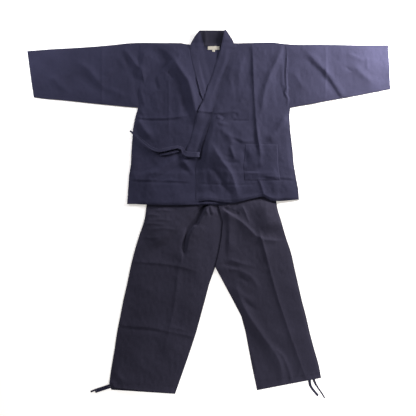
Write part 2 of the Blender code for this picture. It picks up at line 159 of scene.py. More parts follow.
def dress(mesh, uv, wear):
    # UV and wear, from values at the points
    corner = np.zeros(len(mesh.loops), np.int32)
    mesh.loops.foreach_get("vertex_index", corner)
    layer = mesh.uv_layers.get("UVMap") or mesh.uv_layers.new(name="UVMap")
    layer.data.foreach_set("uv", uv[corner].astype(np.float32).ravel())
    attribute = mesh.attributes.new("wear", "FLOAT", "POINT")
    attribute.data.foreach_set("value", wear.astype(np.float32))
    mesh.polygons.foreach_set("use_smooth", np.ones(len(mesh.polygons), bool))


def meshPiece(name, points, faces, uv, wear, material):
    mesh = bpy.data.meshes.new(name)
    mesh.from_pydata(points.tolist(), [], faces.tolist())
    dress(mesh, uv, wear)
    mesh.materials.append(material)
    mesh.update()
    return newObject(name, mesh)


def shell(name, x, y, low, high, uv, wear, material):
    # a closed wall of cloth on a lattice whose rows run to +X and climb to +Y
    rows, columns = x.shape
    count = rows * columns
    index = np.arange(count).reshape(rows, columns)
    a, b, c, d = index[:-1, :-1], index[:-1, 1:], index[1:, 1:], index[1:, :-1]
    up = np.stack([a, b, c, d], axis=-1).reshape(-1, 4)
    ring = np.concatenate([index[0, :-1], index[:-1, -1], index[-1, :0:-1], index[:0:-1, 0]])
    after = np.roll(ring, -1)
    rim = np.stack([ring, after, after + count, ring + count], axis=-1)
    faces = np.concatenate([up + count, up[:, ::-1], rim])
    points = np.concatenate([np.stack([x, y, z], axis=-1).reshape(-1, 3) for z in (low, high)])
    return meshPiece(name, points, faces, np.tile(uv.reshape(-1, 2), (2, 1)),
                     np.tile(wear.ravel(), 2), material)


# What already lies on the floor, as a height for each small square of it, and how cloth hangs
# over the edges of that
pile = {"low": -0.80, "step": 2 * mm, "count": 800, "reach": 18 * mm, "slope": 0.20, "level": 2}
heights = np.zeros((pile["count"], pile["count"]), np.float32)


def readPile(field, x, y):
    u = np.clip((x - pile["low"]) / pile["step"] - 0.5, 0, pile["count"] - 1.001)
    v = np.clip((y - pile["low"]) / pile["step"] - 0.5, 0, pile["count"] - 1.001)
    i, j = u.astype(int), v.astype(int)
    s, t = u - i, v - j
    return ((field[j, i] * (1 - s) + field[j, i + 1] * s) * (1 - t)
            + (field[j + 1, i] * (1 - s) + field[j + 1, i + 1] * s) * t)


def addToPile(x, y, z):
    longest = max(np.abs(np.diff(x, axis=1)).max(), np.abs(np.diff(y, axis=0)).max(),
                  np.abs(np.diff(x, axis=0)).max(), np.abs(np.diff(y, axis=1)).max())
    shares = np.linspace(0.0, 1.0, int(longest / pile["step"]) + 2)
    s, t = np.meshgrid(shares, shares)
    fine = []
    for grid in (x, y, z):
        g = grid[..., None, None]
        fine.append(((g[:-1, :-1] * (1 - s) + g[:-1, 1:] * s) * (1 - t)
                     + (g[1:, :-1] * (1 - s) + g[1:, 1:] * s) * t).ravel())
    column = ((fine[0] - pile["low"]) / pile["step"]).astype(int)
    row = ((fine[1] - pile["low"]) / pile["step"]).astype(int)
    np.maximum.at(heights, (row, column), fine[2].astype(np.float32))


def drape(x, y, gap):
    # how high cloth lies at each point when it hangs over the edges of what is below
    step, reach = pile["step"], pile["reach"]
    pad = int(reach / step) + 3
    left = int((x.min() - pile["low"]) / step) - pad
    low = int((y.min() - pile["low"]) / step) - pad
    right = int((x.max() - pile["low"]) / step) + pad
    top = int((y.max() - pile["low"]) / step) + pad
    wide = np.pad(heights[low:top, left:right], pad)
    close = np.zeros((top - low, right - left), np.float32)
    tent = close.copy()
    for dy in range(-pad + 3, pad - 2):
        for dx in range(-pad + 3, pad - 2):
            away = math.hypot(dx, dy) * step
            if away > reach:
                continue
            moved = wide[pad + dy:pad + dy + top - low, pad + dx:pad + dx + right - left]
            if away <= (pile["level"] + 0.1) * step:
                close = np.maximum(close, moved)
            tent = np.maximum(tent, moved - pile["slope"] * max(away - pile["level"] * step, 0.0))
    for turn in range(3):   # three rounds of smoothing
        wide = np.pad(tent, 1, mode="edge")
        tent = sum(wide[b:b + tent.shape[0], a:a + tent.shape[1]]
                   for a in range(3) for b in range(3)) / 9.0
    rest = np.maximum(tent, close)
    field = np.zeros_like(heights)
    field[low:top, left:right] = rest + gap * (rest > 1e-5)
    return readPile(field, x, y)


crease = {"points": 33, "reach": 3.0, "fade": 0.3}    # fade: the share of its length at either end


def foldRelief(folds, x, y):
    # soft ridges and troughs along curves: height, width at the left and at the right of the
    # curve, how round the crest is (1 pressed, 2 soft), then the curve's points
    total = np.zeros(x.shape)
    for height, left, right, power, *points in folds:
        line = curveThrough(points, crease["points"]) * mm
        reach = crease["reach"] * max(left, right) * mm
        near = ((x > line[:, 0].min() - reach) & (x < line[:, 0].max() + reach)
                & (y > line[:, 1].min() - reach) & (y < line[:, 1].max() + reach))
        start, step = line[:-1], np.diff(line, axis=0)
        fromX = x[near][:, None] - start[:, 0]
        fromY = y[near][:, None] - start[:, 1]
        share = np.clip((fromX * step[:, 0] + fromY * step[:, 1]) / (step ** 2).sum(1), 0.0, 1.0)
        far = np.hypot(fromX - share * step[:, 0], fromY - share * step[:, 1])
        best = far.argmin(1)
        pick = (np.arange(len(best)), best)
        side = step[best, 0] * fromY[pick] - step[best, 1] * fromX[pick]
        width = np.where(side > 0, left, right) * mm
        along = (best + share[pick]) / len(step)
        fade = ramp(np.minimum(along, 1.0 - along), 0.0, crease["fade"])
        total[near] += height * mm * fade * np.exp(-(far[pick] / width) ** power)
    return total


# One way of laying every flat piece
cloth = {
    "thickness": 1.2 * mm, "edgeRadius": 1.8 * mm,
    "gap": 0.35 * mm, "rim": 0.22,                # room below a piece, and how thick its very edge is
    "swell": 2.6 * mm, "swellReach": 26 * mm,     # how far a top layer stands off, away from seams
    "hills": 1.5 * mm, "hillSize": 58 * mm,       # slow unevenness
    "ripple": 0.45 * mm, "rippleSize": 16 * mm,   # small unevenness
    "pucker": 0.45 * mm, "puckerReach": 13 * mm, "puckerSize": 9 * mm,
    "calm": 10 * mm,                              # hills and ripples fade this near a seam
    "settle": 0.3 * mm,                           # rounds a fold off where it comes down
    "wearReach": 3.5 * mm,
}
seamFade = (-1 * mm, 12 * mm)                     # folds come down over this beside a seam
sewnDown = {"gap": 0.08 * mm, "rim": 0.06}        # for edges that show no step


def swell(distance):
    return cloth["swell"] * (1.0 - np.exp(-np.maximum(distance, 0.0) / cloth["swellReach"]))


def unevenness(x, y, seam, seed):
    # slow hills, small ripples, and puckers that cross the seam close to it
    hills = cloth["hills"] * softNoise(x, y, cloth["hillSize"], seed)
    ripple = cloth["ripple"] * softNoise(x * 1.5, y, cloth["rippleSize"], seed + 1)
    pucker = (cloth["pucker"] * np.exp(-seam / cloth["puckerReach"])
              * softNoise(x, y, cloth["puckerSize"], seed + 2))
    return (1.0 - np.exp(-seam / cloth["calm"])) * (hills + ripple) + pucker


def settled(lift):
    return np.maximum(0.5 * (lift + np.sqrt(lift ** 2 + cloth["settle"] ** 2) - cloth["settle"]), 0.0)


def wearNear(edge):
    return np.exp(-edge / cloth["wearReach"])


def layCloth(name, x, y, edge, lift, material, uv=None, thickness=cloth["thickness"],
             radius=cloth["edgeRadius"], gap=cloth["gap"], rim=cloth["rim"]):
    # the piece goes over what lies there, and the next pieces go over it
    low = drape(x, y, gap) + settled(lift)
    high = low + thickness * (rim + (1 - rim) * roundEdge(edge, radius))
    uv = np.stack([x, y], axis=-1) if uv is None else uv
    piece = shell(name, x, y, low, high, uv, wearNear(edge), material)
    addToPile(x, y, high)
    return piece, high


def finishPiece(piece, node):
    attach(piece, bodyName)
    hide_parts(node)


def finishSheet(piece, node, flat):
    finishPiece(piece, node)


class Wire:
    # a socket that can be used in sums
    def __init__(self, tree, socket):
        self.tree, self.socket = tree, socket

    def math(self, operation, *others):
        node = self.tree.nodes.new("ShaderNodeMath")
        node.operation = operation
        for slot, value in zip(node.inputs, (self, *others)):
            fill(self.tree, slot, value)
        return Wire(self.tree, node.outputs[0])

    def __add__(self, other):
        return self.math("ADD", other)

    __radd__ = __add__

    def __mul__(self, other):
        return self.math("MULTIPLY", other)

    def __sub__(self, other):
        return self.math("SUBTRACT", other)


def fill(tree, slot, value):
    # a link from another socket, or a plain value
    source = value.socket if isinstance(value, Wire) else value
    if isinstance(source, bpy.types.NodeSocket):
        tree.links.new(source, slot)
    else:
        slot.default_value = source


def addNode(tree, kind, settings, sockets):
    # sockets are given by name, or as i and their number where names repeat
    node = tree.nodes.new(kind)
    for name, value in (settings or {}).items():
        setattr(node, name, value)
    for name, value in sockets.items():
        key = int(name[1:]) if name[1:].isdigit() else name.replace("_", " ")
        fill(tree, node.inputs[key], value)
    return node


class Finish:
    # a new material, and one way of adding nodes to it
    def __init__(self, name):
        self.material = bpy.data.materials.new(name)
        self.material.use_nodes = True
        self.tree = self.material.node_tree
        self.shader = self.tree.nodes["Principled BSDF"]

    def add(self, kind, settings=None, output=0, **sockets):
        node = addNode(self.tree, "ShaderNode" + kind, settings, sockets)
        return Wire(self.tree, node.outputs[output])

    def set(self, **sockets):
        for name, value in sockets.items():
            fill(self.tree, self.shader.inputs[name.replace("_", " ")], value)


def clothFinish(name, look):
    # plain weave with slubs: threads run along U and V, in metres
    finish = Finish(name)
    uv = finish.add("UVMap", {"uv_map": "UVMap"})
    u = finish.add("SeparateXYZ", i0=uv)
    v = Wire(finish.tree, u.socket.node.outputs[1])
    turn = 2.0 * math.pi / look["pitch"]
    over = (u * turn).math("SINE") * (v * turn).math("SINE")
    long, short = look["slub"], look["slub"] * look["slubStretch"]
    slubs = []
    for scale in ((long, short, 1.0), (short, long, 1.0)):
        place = finish.add("VectorMath", {"operation": "MULTIPLY"}, i0=uv, i1=scale)
        slubs.append(finish.add("TexNoise", {"noise_dimensions": "2D"}, Vector=place, Scale=1.0,
                                Detail=2.0, Roughness=0.55))
    slub = (slubs[0] + slubs[1]) * 0.5
    cloud = finish.add("TexNoise", {"noise_dimensions": "2D"}, Vector=uv, Scale=look["cloud"], Detail=3.0)
    wear = finish.add("Attribute", {"attribute_name": "wear"}, output=2)
    low, high = look["toneRange"]
    tone = finish.add("MapRange", i0=slub * (1 - look["cloudShare"]) + cloud * look["cloudShare"],
                      i1=low, i2=high)
    threads = finish.add("Mix", {"data_type": "RGBA"}, output=2, i0=tone, i6=look["dark"], i7=look["light"])
    worn = finish.add("Mix", {"data_type": "RGBA"}, output=2, i0=wear * look["wear"], i6=threads,
                      i7=look["worn"])
    bump = finish.add("Bump", i0=look["bump"], i1=look["depth"],
                      Height=over * look["weaveHeight"] + slub * look["slubHeight"])
    finish.set(Base_Color=worn, Roughness=look["roughness"] + (slub - 0.5) * look["roughnessRange"],
               Normal=bump, Sheen_Weight=look["sheen"], Sheen_Roughness=look["sheenRoughness"],
               Sheen_Tint=look["sheenTint"], Specular_IOR_Level=look["gloss"])
    return finish.material


navyLook = {
    "dark": (0.0160, 0.0157, 0.0318, 1.0), "light": (0.0252, 0.0248, 0.0478, 1.0), "toneRange": (0.38, 0.62),
    "worn": (0.038, 0.037, 0.060, 1.0), "wear": 0.10,
    "pitch": 1.3 * mm, "slub": 160.0, "slubStretch": 14.0, "cloud": 9.0, "cloudShare": 0.3,
    "bump": 0.35, "depth": 0.25 * mm, "weaveHeight": 0.5, "slubHeight": 1.2,
    "roughness": 0.86, "roughnessRange": 0.15, "gloss": 0.12,
    "sheen": 0.08, "sheenRoughness": 0.45, "sheenTint": (0.62, 0.62, 0.85, 1.0),
}
otherLooks = {
    "jacket": ("navyJacketCotton", {}),
    "collar": ("navyCollarCotton", {"cloud": 14.0}),
    # painted shade: the collar behind the neck is the same cloth as the bands, made darker and greyer for
    # the shade inside the collar
    "neck": ("navyNeckPaintedShade", {"dark": (0.0125, 0.0119, 0.0190, 1.0),
                                "light": (0.0200, 0.0190, 0.0300, 1.0)}),
    "trousers": ("navyTrouserCotton", {"cloud": 8.0, "dark": (0.0182, 0.0168, 0.0280, 1.0),
                                       "light": (0.0286, 0.0266, 0.0430, 1.0)}),
    "tie": ("navyTieCotton", {"slub": 220.0, "wear": 0.25}),
    "tape": ("navyCuffTape", {"pitch": 0.9 * mm, "bump": 0.5}),
    "thread": ("navyThread", {"pitch": 0.5 * mm, "slub": 400.0, "dark": (0.0120, 0.0115, 0.0200, 1.0),
                              "light": (0.0170, 0.0162, 0.0290, 1.0)}),
    "label": ("creamLabelWeave", {"dark": (0.34, 0.31, 0.24, 1.0), "light": (0.47, 0.44, 0.36, 1.0),
                                  "worn": (0.50, 0.46, 0.38, 1.0), "pitch": 0.7 * mm}),
}
finishes = {key: clothFinish(name, {**navyLook, **changes}) for key, (name, changes) in otherLooks.items()}
print("finishes made")

makeCamera()


def geometryTree(name, inputs):
    # a tree on a wire, with named inputs; its end makes real mesh of one material
    tree = bpy.data.node_groups.new(name, "GeometryNodeTree")
    tree.interface.new_socket("Geometry", in_out="INPUT", socket_type="NodeSocketGeometry")
    ids = {}
    for label, value in {**inputs, "Material": None}.items():
        kind = "NodeSocketMaterial" if value is None else "NodeSocketFloat"
        socket = tree.interface.new_socket(label, in_out="INPUT", socket_type=kind)
        if value is not None:
            socket.default_value = value
        ids[label] = socket.identifier
    tree.interface.new_socket("Geometry", in_out="OUTPUT", socket_type="NodeSocketGeometry")
    given = tree.nodes.new("NodeGroupInput").outputs
    result = tree.nodes.new("NodeGroupOutput")

    def add(kind, settings=None, **sockets):
        return addNode(tree, kind, settings, sockets).outputs

    def end(made):
        real = add("GeometryNodeRealizeInstances", i0=made)
        painted = add("GeometryNodeSetMaterial", Geometry=real[0], Material=given["Material"])
        tree.links.new(painted[0], result.inputs[0])
        return tree, ids

    return given, add, end


def runTree(name, points, edges, madeTree, values, material, wide=None):
    # puts the tree on a wire of points, and keeps what it makes as a plain mesh
    tree, ids = madeTree
    wire = bpy.data.meshes.new(name + "Wire")
    wire.from_pydata([tuple(p) for p in points], edges, [])
    if wide is not None:
        wire.attributes.new("wide", "FLOAT", "POINT").data.foreach_set("value", np.array(wide, np.float32))
    holder = newObject(name + "Wire", wire)
    modifier = holder.modifiers.new("nodes", "NODES")
    modifier.node_group = tree
    for label, value in {**values, "Material": material}.items():
        modifier[ids[label]] = value
    seen = holder.evaluated_get(bpy.context.evaluated_depsgraph_get())
    mesh = bpy.data.meshes.new_from_object(seen)
    holder.modifiers.remove(modifier)
    bpy.data.objects.remove(holder)
    mesh.name = name
    # UV in metres, from above
    place = np.zeros(len(mesh.vertices) * 3, np.float32)
    mesh.vertices.foreach_get("co", place)
    dress(mesh, place.reshape(-1, 3)[:, :2], np.zeros(len(mesh.vertices)))
    return newObject(name, mesh)


# Cuff tapes: free ends of the tape that runs in each cuff
tapes = {
    "size": {"Width": 7.0 * mm, "Thickness": 1.5 * mm}, "corner": 0.45, "count": 25,
    # x, y, z and how wide it looks, where it twists
    "routes": {
        "cuff_tape_right_1": ((-366, -699, 2.3, 1.1), (-381, -703, 2.4, 1.1), (-399, -709, 1.6, 1.1),
                              (-418, -715, 1.2, 1.1), (-433, -720, 1.6, 1), (-449, -726, 0.9, 1)),
        "cuff_tape_right_2": ((-364, -706.5, 2.3, 1.1), (-379, -710.5, 2.2, 1.1),
                              (-396.5, -716.2, 1.2, 1.1), (-415.5, -722.2, 1.4, 1.1),
                              (-425, -725.3, 1.3, 1.1), (-431, -727.2, 0.9, 1.1)),
        "cuff_tape_left_1": ((388.5, -673, 2.3, 1.6), (390, -690, 3.0, 1.5), (392, -703, 3.6, 1.4),
                             (398, -714, 3.6, 1.3), (408, -727, 3.0, 1.3), (421, -741, 1.0, 1.25)),
        "cuff_tape_left_2": ((402.5, -671, 2.3, 1.4), (407, -685, 2.6, 1.3), (412, -697, 2.4, 1.1),
                             (424, -716, 2.0, 0.9), (436, -733, 1.4, 0.85), (446, -750, 0.8, 0.8)),
    },
}


def makeTapeTree():
    # a flat woven ribbon along a wire
    given, add, end = geometryTree("flatTape", tapes["size"])
    curve = add("GeometryNodeMeshToCurve", i0=given["Geometry"])
    level = add("GeometryNodeSetCurveNormal", {"mode": "Z_UP"}, i0=curve[0])
    profile = add("GeometryNodeCurvePrimitiveQuadrilateral", Width=given["Width"], Height=given["Thickness"])
    corner = add("ShaderNodeMath", {"operation": "MULTIPLY"}, i0=given["Thickness"], i1=tapes["corner"])
    rounded = add("GeometryNodeFilletCurve", {"mode": "POLY"}, Curve=profile[0], Count=3, Radius=corner[0])
    wide = add("GeometryNodeInputNamedAttribute", Name="wide")
    return end(add("GeometryNodeCurveToMesh", Curve=level[0], Profile_Curve=rounded[0], Scale=wide[0],
                   Fill_Caps=True)[0])


tapeTree = makeTapeTree()
tapeRoutes = {}
for name, points in tapes["routes"].items():
    route = evenly(curveThrough(points, 80) * mm, tapes["count"])
    route, wide = route[:, :3], route[:, 3] / mm
    piece = runTree(name.replace("cuff_", ""), route, [(i, i + 1) for i in range(len(route) - 1)], tapeTree,
                    tapes["size"], finishes["tape"], wide)
    finishPiece(piece, name)
    tapeRoutes[name] = route
print("cuff tapes laid")

# Stitches: rows are noted as the pieces are laid, and one mesh a colour is made of them at the end
stitches = {
    "size": {"Length": 2.6 * mm, "Gap": 1.4 * mm, "Thread": 0.18 * mm}, "lift": 0.04 * mm, "spacing": 4 * mm,
    "least": (0.85, 0.85, 0.85), "most": (1.15, 1.15, 1.1), "seed": 7,
    "slots": {"trousers": "trouser_cloth", "jacket": "jacket_cloth", "collar": "collar_cloth",
              "tie": "tie_cloth", "label": "label_cloth"},
}
stitchRows = {}


def makeStitchTree():
    # small rounded stitches, end to end along a wire
    given, add, end = geometryTree("stitchRow", stitches["size"])
    curve = add("GeometryNodeMeshToCurve", i0=given["Geometry"])
    pitch = add("ShaderNodeMath", {"operation": "ADD"}, i0=given["Length"], i1=given["Gap"])
    spots = add("GeometryNodeCurveToPoints", {"mode": "LENGTH"}, Curve=curve[0], Length=pitch[0])
    bead = add("GeometryNodeMeshUVSphere", Segments=6, Rings=4, Radius=0.5)
    across = add("ShaderNodeMath", {"operation": "MULTIPLY"}, i0=given["Thread"], i1=2.0)
    size = add("ShaderNodeCombineXYZ", X=across[0], Y=across[0], Z=given["Length"])
    uneven = add("FunctionNodeRandomValue", {"data_type": "FLOAT_VECTOR"}, Min=stitches["least"],
                 Max=stitches["most"], Seed=stitches["seed"])
    scaled = add("ShaderNodeVectorMath", {"operation": "MULTIPLY"}, i0=size[0], i1=uneven[0])
    return end(add("GeometryNodeInstanceOnPoints", Points=spots["Points"], Instance=bead["Mesh"],
                   Rotation=spots["Rotation"], Scale=scaled[0])[0])


def sew(group, x, y):
    # a stitched row along points, on top of what lies there now
    line = np.column_stack([x, y])
    line = evenly(line, max(3, int(stepLengths(line).sum() / stitches["spacing"])))
    z = readPile(heights, line[:, 0], line[:, 1]) + stitches["lift"]
    stitchRows.setdefault(group, []).append(np.column_stack([line, z]))


legs = {
    "cell": 3.0 * mm, "backCell": 9.0 * mm,
    "covered": (45 * mm, 5 * mm),                       # the jacket presses the folds flat above this
    "crotch": (-262 * mm, -246 * mm),                   # above this a seam joins the legs
    "seamRise": 20 * mm, "seamEdge": 0.6, "joinedFade": (-10 * mm, 34 * mm),
    "mouthReach": 16 * mm, "mouthSide": 22 * mm,        # how far in from hem and seams a cuff opens
    "tapeSeat": {"side": 3.2 * mm, "height": 0.8 * mm},
    "stitchDepths": (22 * mm, 24.5 * mm), "stitchInset": 3 * mm,
    "right": {
        # outer x, y and inner x, y of each section, from the waist to the cuff
        "sections": ((-232, 120, 19.7, 120), (-246, -6, 43.7, -12), (-254, -63, 59.7, -65),
                     (-274, -127, 54.7, -130), (-292, -191, 43.7, -190), (-306, -254, 28.7, -248),
                     (-318, -317, 4, -317), (-331, -379, -12, -379), (-342, -441, -29, -441),
                     (-353, -503, -46, -503), (-361, -564, -66, -564), (-370, -624, -87, -625),
                     (-377, -677, -108, -684), (-378, -698, -118, -712), (-370, -710, -126, -733)),
        "lip": (9.0, 1.5), "mouth": 4.5 * mm,
        "folds": (
            (10.5, 42, 9, 1.4, (36, 60), (20, 30), (2, -8), (-16, -42), (-36, -70), (-54, -96),
             (-71, -126), (-79, -158), (-84, -198), (-90, -250)),
            (7.0, 18, 60, 1.8, (-4, 30), (-52, -18), (-115, -80), (-172, -126), (-214, -156), (-262, -174)),
            (5.0, 6, 60, 1.8, (-66, -96), (-86, -128), (-98, -160), (-103, -200), (-110, -240)),
            (-12.0, 5, 7, 1.5, (4, 30), (-14, -6), (-33, -39), (-51, -65), (-68, -87), (-85, -118),
             (-93, -149), (-97, -189), (-103, -228)),
            (-9.0, 6, 7, 1.6, (-20, 0), (-28, -24), (-36, -48), (-46, -77), (-50, -92)),
            (2.4, 16, 10, 1.3, (-92, -140), (-97, -189), (-110, -240), (-120, -291), (-128, -377),
             (-152, -500), (-172, -600)),
            (2.3, 18, 5, 1.2, (-420, -224), (-289, -229), (-222, -233), (-154, -240), (-110, -248),
             (-60, -262), (-10, -278)),
            (2.1, 18, 5, 1.2, (-480, -462), (-350, -474), (-283, -480), (-220, -485), (-162, -498),
             (-72, -517), (20, -540), (80, -556)),
            (-1.5, 6, 6, 1.4, (-360, -484), (-300, -488), (-220, -493), (-168, -505)),
            (1.6, 7, 6, 1.5, (-158, -482), (-118, -487), (-74, -499)),
            (-1.6, 22, 12, 1.8, (-200, -520), (-192, -560), (-188, -600)),
            (1.7, 6, 5, 1.5, (-216, -26), (-180, -22), (-130, -28)),
            (1.6, 5, 6, 1.5, (-256, -42), (-222, -40), (-184, -46)),
            (1.6, 6, 7, 1.6, (-246, -66), (-190, -60), (-128, -68)),
            (1.8, 7, 5, 1.5, (-290, -82), (-230, -76), (-160, -84)),
            (1.5, 6, 6, 1.7, (-230, -102), (-180, -96), (-112, -104)),
            (1.2, 6, 6, 1.8, (-260, -128), (-220, -134), (-188, -128)),
            (2.6, 7, 8, 1.6, (-16, 8), (-6, -24), (8, -46)),
            (2.2, 6, 6, 1.6, (10, 8), (14, -22), (30, -44)),
            (2.0, 6, 7, 1.6, (34, 6), (36, -30), (48, -62)),
            (-2.6, 6, 5, 1.6, (4, 4), (4, -28), (14, -50)),
            (2.4, 18, 20, 1.9, (-14, -80), (-34, -112), (-58, -138)),
            (1.6, 30, 26, 2.0, (-20, -170), (-50, -260), (-80, -360)),
            (1.4, 20, 20, 2.0, (-290, -300), (-250, -330), (-200, -350)),
            (1.6, 18, 18, 2.0, (-310, -560), (-262, -620), (-190, -680)),
            (-1.6, 24, 24, 2.0, (-240, -520), (-216, -560), (-180, -620)),
            (1.5, 10, 12, 1.9, (-356, -640), (-340, -672), (-310, -700)),
        ),
    },
    "left": {
        "sections": ((262, 120, 19, 120), (276, -6, 43, -12), (291, -63, 59, -65), (308, -127, 54, -130),
                     (328, -191, 43, -190), (341, -254, 28, -248), (354, -317, 65, -317),
                     (367, -379, 98, -379), (382, -441, 130, -441), (395, -503, 146, -503),
                     (410, -564, 157, -564), (426, -624, 168, -624), (434, -672, 187, -717)),
        "lip": (3.0, 4.0), "mouth": 3.0 * mm,
        "folds": (
            (6.5, 8, 26, 1.3, (40, 2), (60, -20), (92, -44), (127, -65), (163, -97), (190, -125),
             (222, -142)),
            (3.8, 8, 12, 1.5, (186, -118), (214, -137), (246, -142), (310, -146)),
            (-7.5, 6, 6, 1.5, (56, -10), (80, -22), (104, -32), (128, -40)),
            (2.8, 4, 12, 1.2, (132, 6), (144, -18), (156, -50), (168, -88)),
            (9.5, 40, 38, 1.8, (222, 30), (228, -26), (240, -70), (262, -116)),
            (2.6, 34, 20, 1.6, (196, -90), (214, -141), (258, -319), (295, -442), (332, -554),
             (374, -674), (400, -760)),
            (2.8, 7, 5, 1.2, (196, -90), (214, -141), (258, -319), (295, -442), (332, -554), (374, -674),
             (400, -760)),
            (2.4, 7, 5, 1.2, (200, -110), (208, -132), (222, -180), (240, -250)),
            (9.0, 13, 26, 1.5, (98, -300), (110, -332), (137, -397), (164, -447), (200, -501),
             (232, -545), (262, -590), (276, -621), (282, -652), (284, -700), (285, -790)),
            (4.0, 8, 9, 1.6, (250, -550), (263, -569), (286, -590), (303, -625), (314, -656),
             (320, -691), (322, -750)),
            (-3.0, 24, 26, 1.9, (140, -430), (180, -510), (218, -575), (246, -640)),
            (1.8, 13, 13, 1.8, (92, -316), (138, -359), (192, -394)),
            (-2.0, 10, 12, 1.8, (130, -376), (160, -398), (190, -420)),
            (5.5, 22, 11, 1.7, (76, 0), (78, -36), (82, -80), (84, -125), (82, -170), (74, -214)),
            (2.2, 8, 9, 1.6, (74, -214), (100, -224), (132, -234), (194, -250)),
            (-2.8, 9, 8, 1.7, (50, -236), (88, -242), (130, -250)),
            (1.7, 9, 9, 1.8, (104, -256), (128, -264), (166, -284), (190, -318), (202, -356)),
            (-2.2, 10, 10, 1.8, (112, -282), (136, -296), (168, -318)),
            (1.6, 6, 6, 1.7, (80, -262), (96, -258), (118, -262)),
            (2.0, 6, 6, 1.6, (52, 4), (70, -6), (92, 2)),
            (3.0, 40, 40, 2.0, (306, -180), (334, -330), (366, -450), (392, -560), (420, -680),
             (436, -780)),
            (1.6, 14, 14, 2.0, (150, -560), (170, -600), (186, -660)),
            (1.5, 8, 8, 1.8, (318, -700), (350, -660), (352, -620)),
            (1.6, 6, 6, 1.6, (268, -20), (284, -46), (286, -66)),
        ),
    },
}


def legLattice(sections, cell, lip=(0.0, 0.0)):
    # rows of points from the cuff to the waist; the lip carries the cuff's ends further down
    rows = np.array(sections, float) * mm
    outer, inner = rows[::-1, :2].copy(), rows[::-1, 2:].copy()
    down = outer[0] - outer[1] + inner[0] - inner[1]
    down *= mm / np.linalg.norm(down)
    outer[0] += lip[0] * down
    inner[0] += lip[1] * down
    length = float(np.linalg.norm(outer[0] + inner[0] - outer[-1] - inner[-1])) / 2
    at = spread(length, cell) / length
    middle = runAlong((outer + inner) / 2)
    last = len(rows) - 1
    where = np.interp(at * middle[-1], middle, np.arange(len(rows)))
    outer = readBetween(curveThrough(outer, 40 * len(rows)), where, last)
    inner = readBetween(inner, where, last)
    left, right = (outer, inner) if outer[0, 0] < inner[0, 0] else (inner, outer)
    width = np.linalg.norm(right - left, axis=1)[:, None]
    share = (spread(float(width.mean()), cell) / width.mean())[None, :]
    x = left[:, :1] + (right - left)[:, :1] * share
    y = left[:, 1:] + (right - left)[:, 1:] * share
    run = at[:, None] * length * np.ones_like(x)
    return x, y, width * share, width * (1 - share), run, length - run


def makeLegBack(side):
    plan = legs[side]
    x, y, fromLeft, fromRight, run, _ = legLattice(plan["sections"], legs["backCell"], plan["lip"])
    back, _ = layCloth("leg_back_" + side + "_cloth", x, y, least(fromLeft, fromRight, run), 0 * x,
                       finishes["trousers"], uv=np.stack([fromLeft, run], axis=-1))
    finishSheet(back, "leg_back_" + side, (0.35, 0.87))
    # the cuff's front goes over the roots of the tapes
    seat = legs["tapeSeat"]
    for name, route in tapeRoutes.items():
        if side in name:
            strip = np.stack([route + (0, step, seat["height"])
                              for step in (-seat["side"], 0.0, seat["side"])])
            addToPile(*(strip[..., k] for k in range(3)))


def makeLegFront(side, seed):
    plan = legs[side]
    x, y, fromLeft, fromRight, run, toWaist = legLattice(plan["sections"], legs["cell"])
    seam = np.minimum(fromLeft, fromRight)
    inner, outer = (fromRight, fromLeft) if side == "right" else (fromLeft, fromRight)
    # above the crotch the seam joins the legs without a step
    joined = ramp(y, *legs["crotch"])
    soft = legs["seamEdge"] * cloth["edgeRadius"] + softly(inner, legs["seamRise"], cloth["edgeRadius"])
    edge = least(inner * (1 - joined) + joined * soft, outer, run, toWaist)
    lift = foldRelief(plan["folds"], x, y) + swell(seam) + unevenness(x, y, seam, seed)
    lift += plan["mouth"] * np.exp(-run / legs["mouthReach"]) * ramp(seam, 0.0, legs["mouthSide"])
    lift *= ramp(y, *legs["covered"]) * ramp(outer, *seamFade)
    lift *= ramp(inner, *seamFade) * (1 - joined) + ramp(inner, *legs["joinedFade"]) * joined
    front, _ = layCloth("leg_front_" + side + "_cloth", x, y, edge, lift, finishes["trousers"],
                        uv=np.stack([fromLeft, run], axis=-1), **sewnDown)
    finishSheet(front, "leg_front_" + side, (0.34, 0.86))
    columns = seam[0] > legs["stitchInset"]
    for depth in legs["stitchDepths"]:
        row = nearest(run[:, 0], depth)
        sew("trousers", x[row, columns], y[row, columns])


for side, seed in (("right", 11), ("left", 23)):
    makeLegBack(side)
    makeLegFront(side, seed)
print("trousers laid")

jacket = {
    "shoulderY": 684, "hemBlend": 80, "shoulderBlend": 60, "cell": 3.0 * mm, "backCell": 8 * mm,
    "backHills": {"height": 1.2 * mm, "size": 40 * mm, "seed": 31, "calm": 20 * mm},
    # y, then x at the left and at the right side seam and armhole
    "sides": ((0, -323, 364), (67, -320, 361), (117, -318, 353), (166, -311, 346), (216, -310, 343),
              (316, -305, 334), (367, -296, 332), (403, -286, 336), (684, -290, 322)),
    "shoulder": ((-289, 684), (-114, 683), (-73, 675), (107, 682), (268, 686), (321, 679)),
    "backTop": ((-289, 684), (-114, 683), (-73, 670.7), (106, 670.7), (140, 683), (321, 680)),
    # x, then the hem of the back, of the under front and of the over front
    "hems": ((-323, 4, 5, 11), (-232, 3, 0, 11), (-128, 0, -2, 11), (-48, -2, 0, 11), (4, -2, 2, 16),
             (68, -1, 4, 8), (124, 13, 4, 12), (184, 28, 4, 26), (222, 34, 4, 32), (264, 17, 4, 15),
             (364, 22, 4, 22)),
    "underEdge": ((0, 75), (150, 75), (208, 62), (320, 28), (399, 2), (452, -21), (536, -43), (596, -57),
                  (675, -67)),
    "overEdge": ((0, -48), (152, -49), (190, -39), (274, -20), (369, 7), (471, 38), (549, 59), (601, 84),
                 (660, 101), (682, 101)),
}


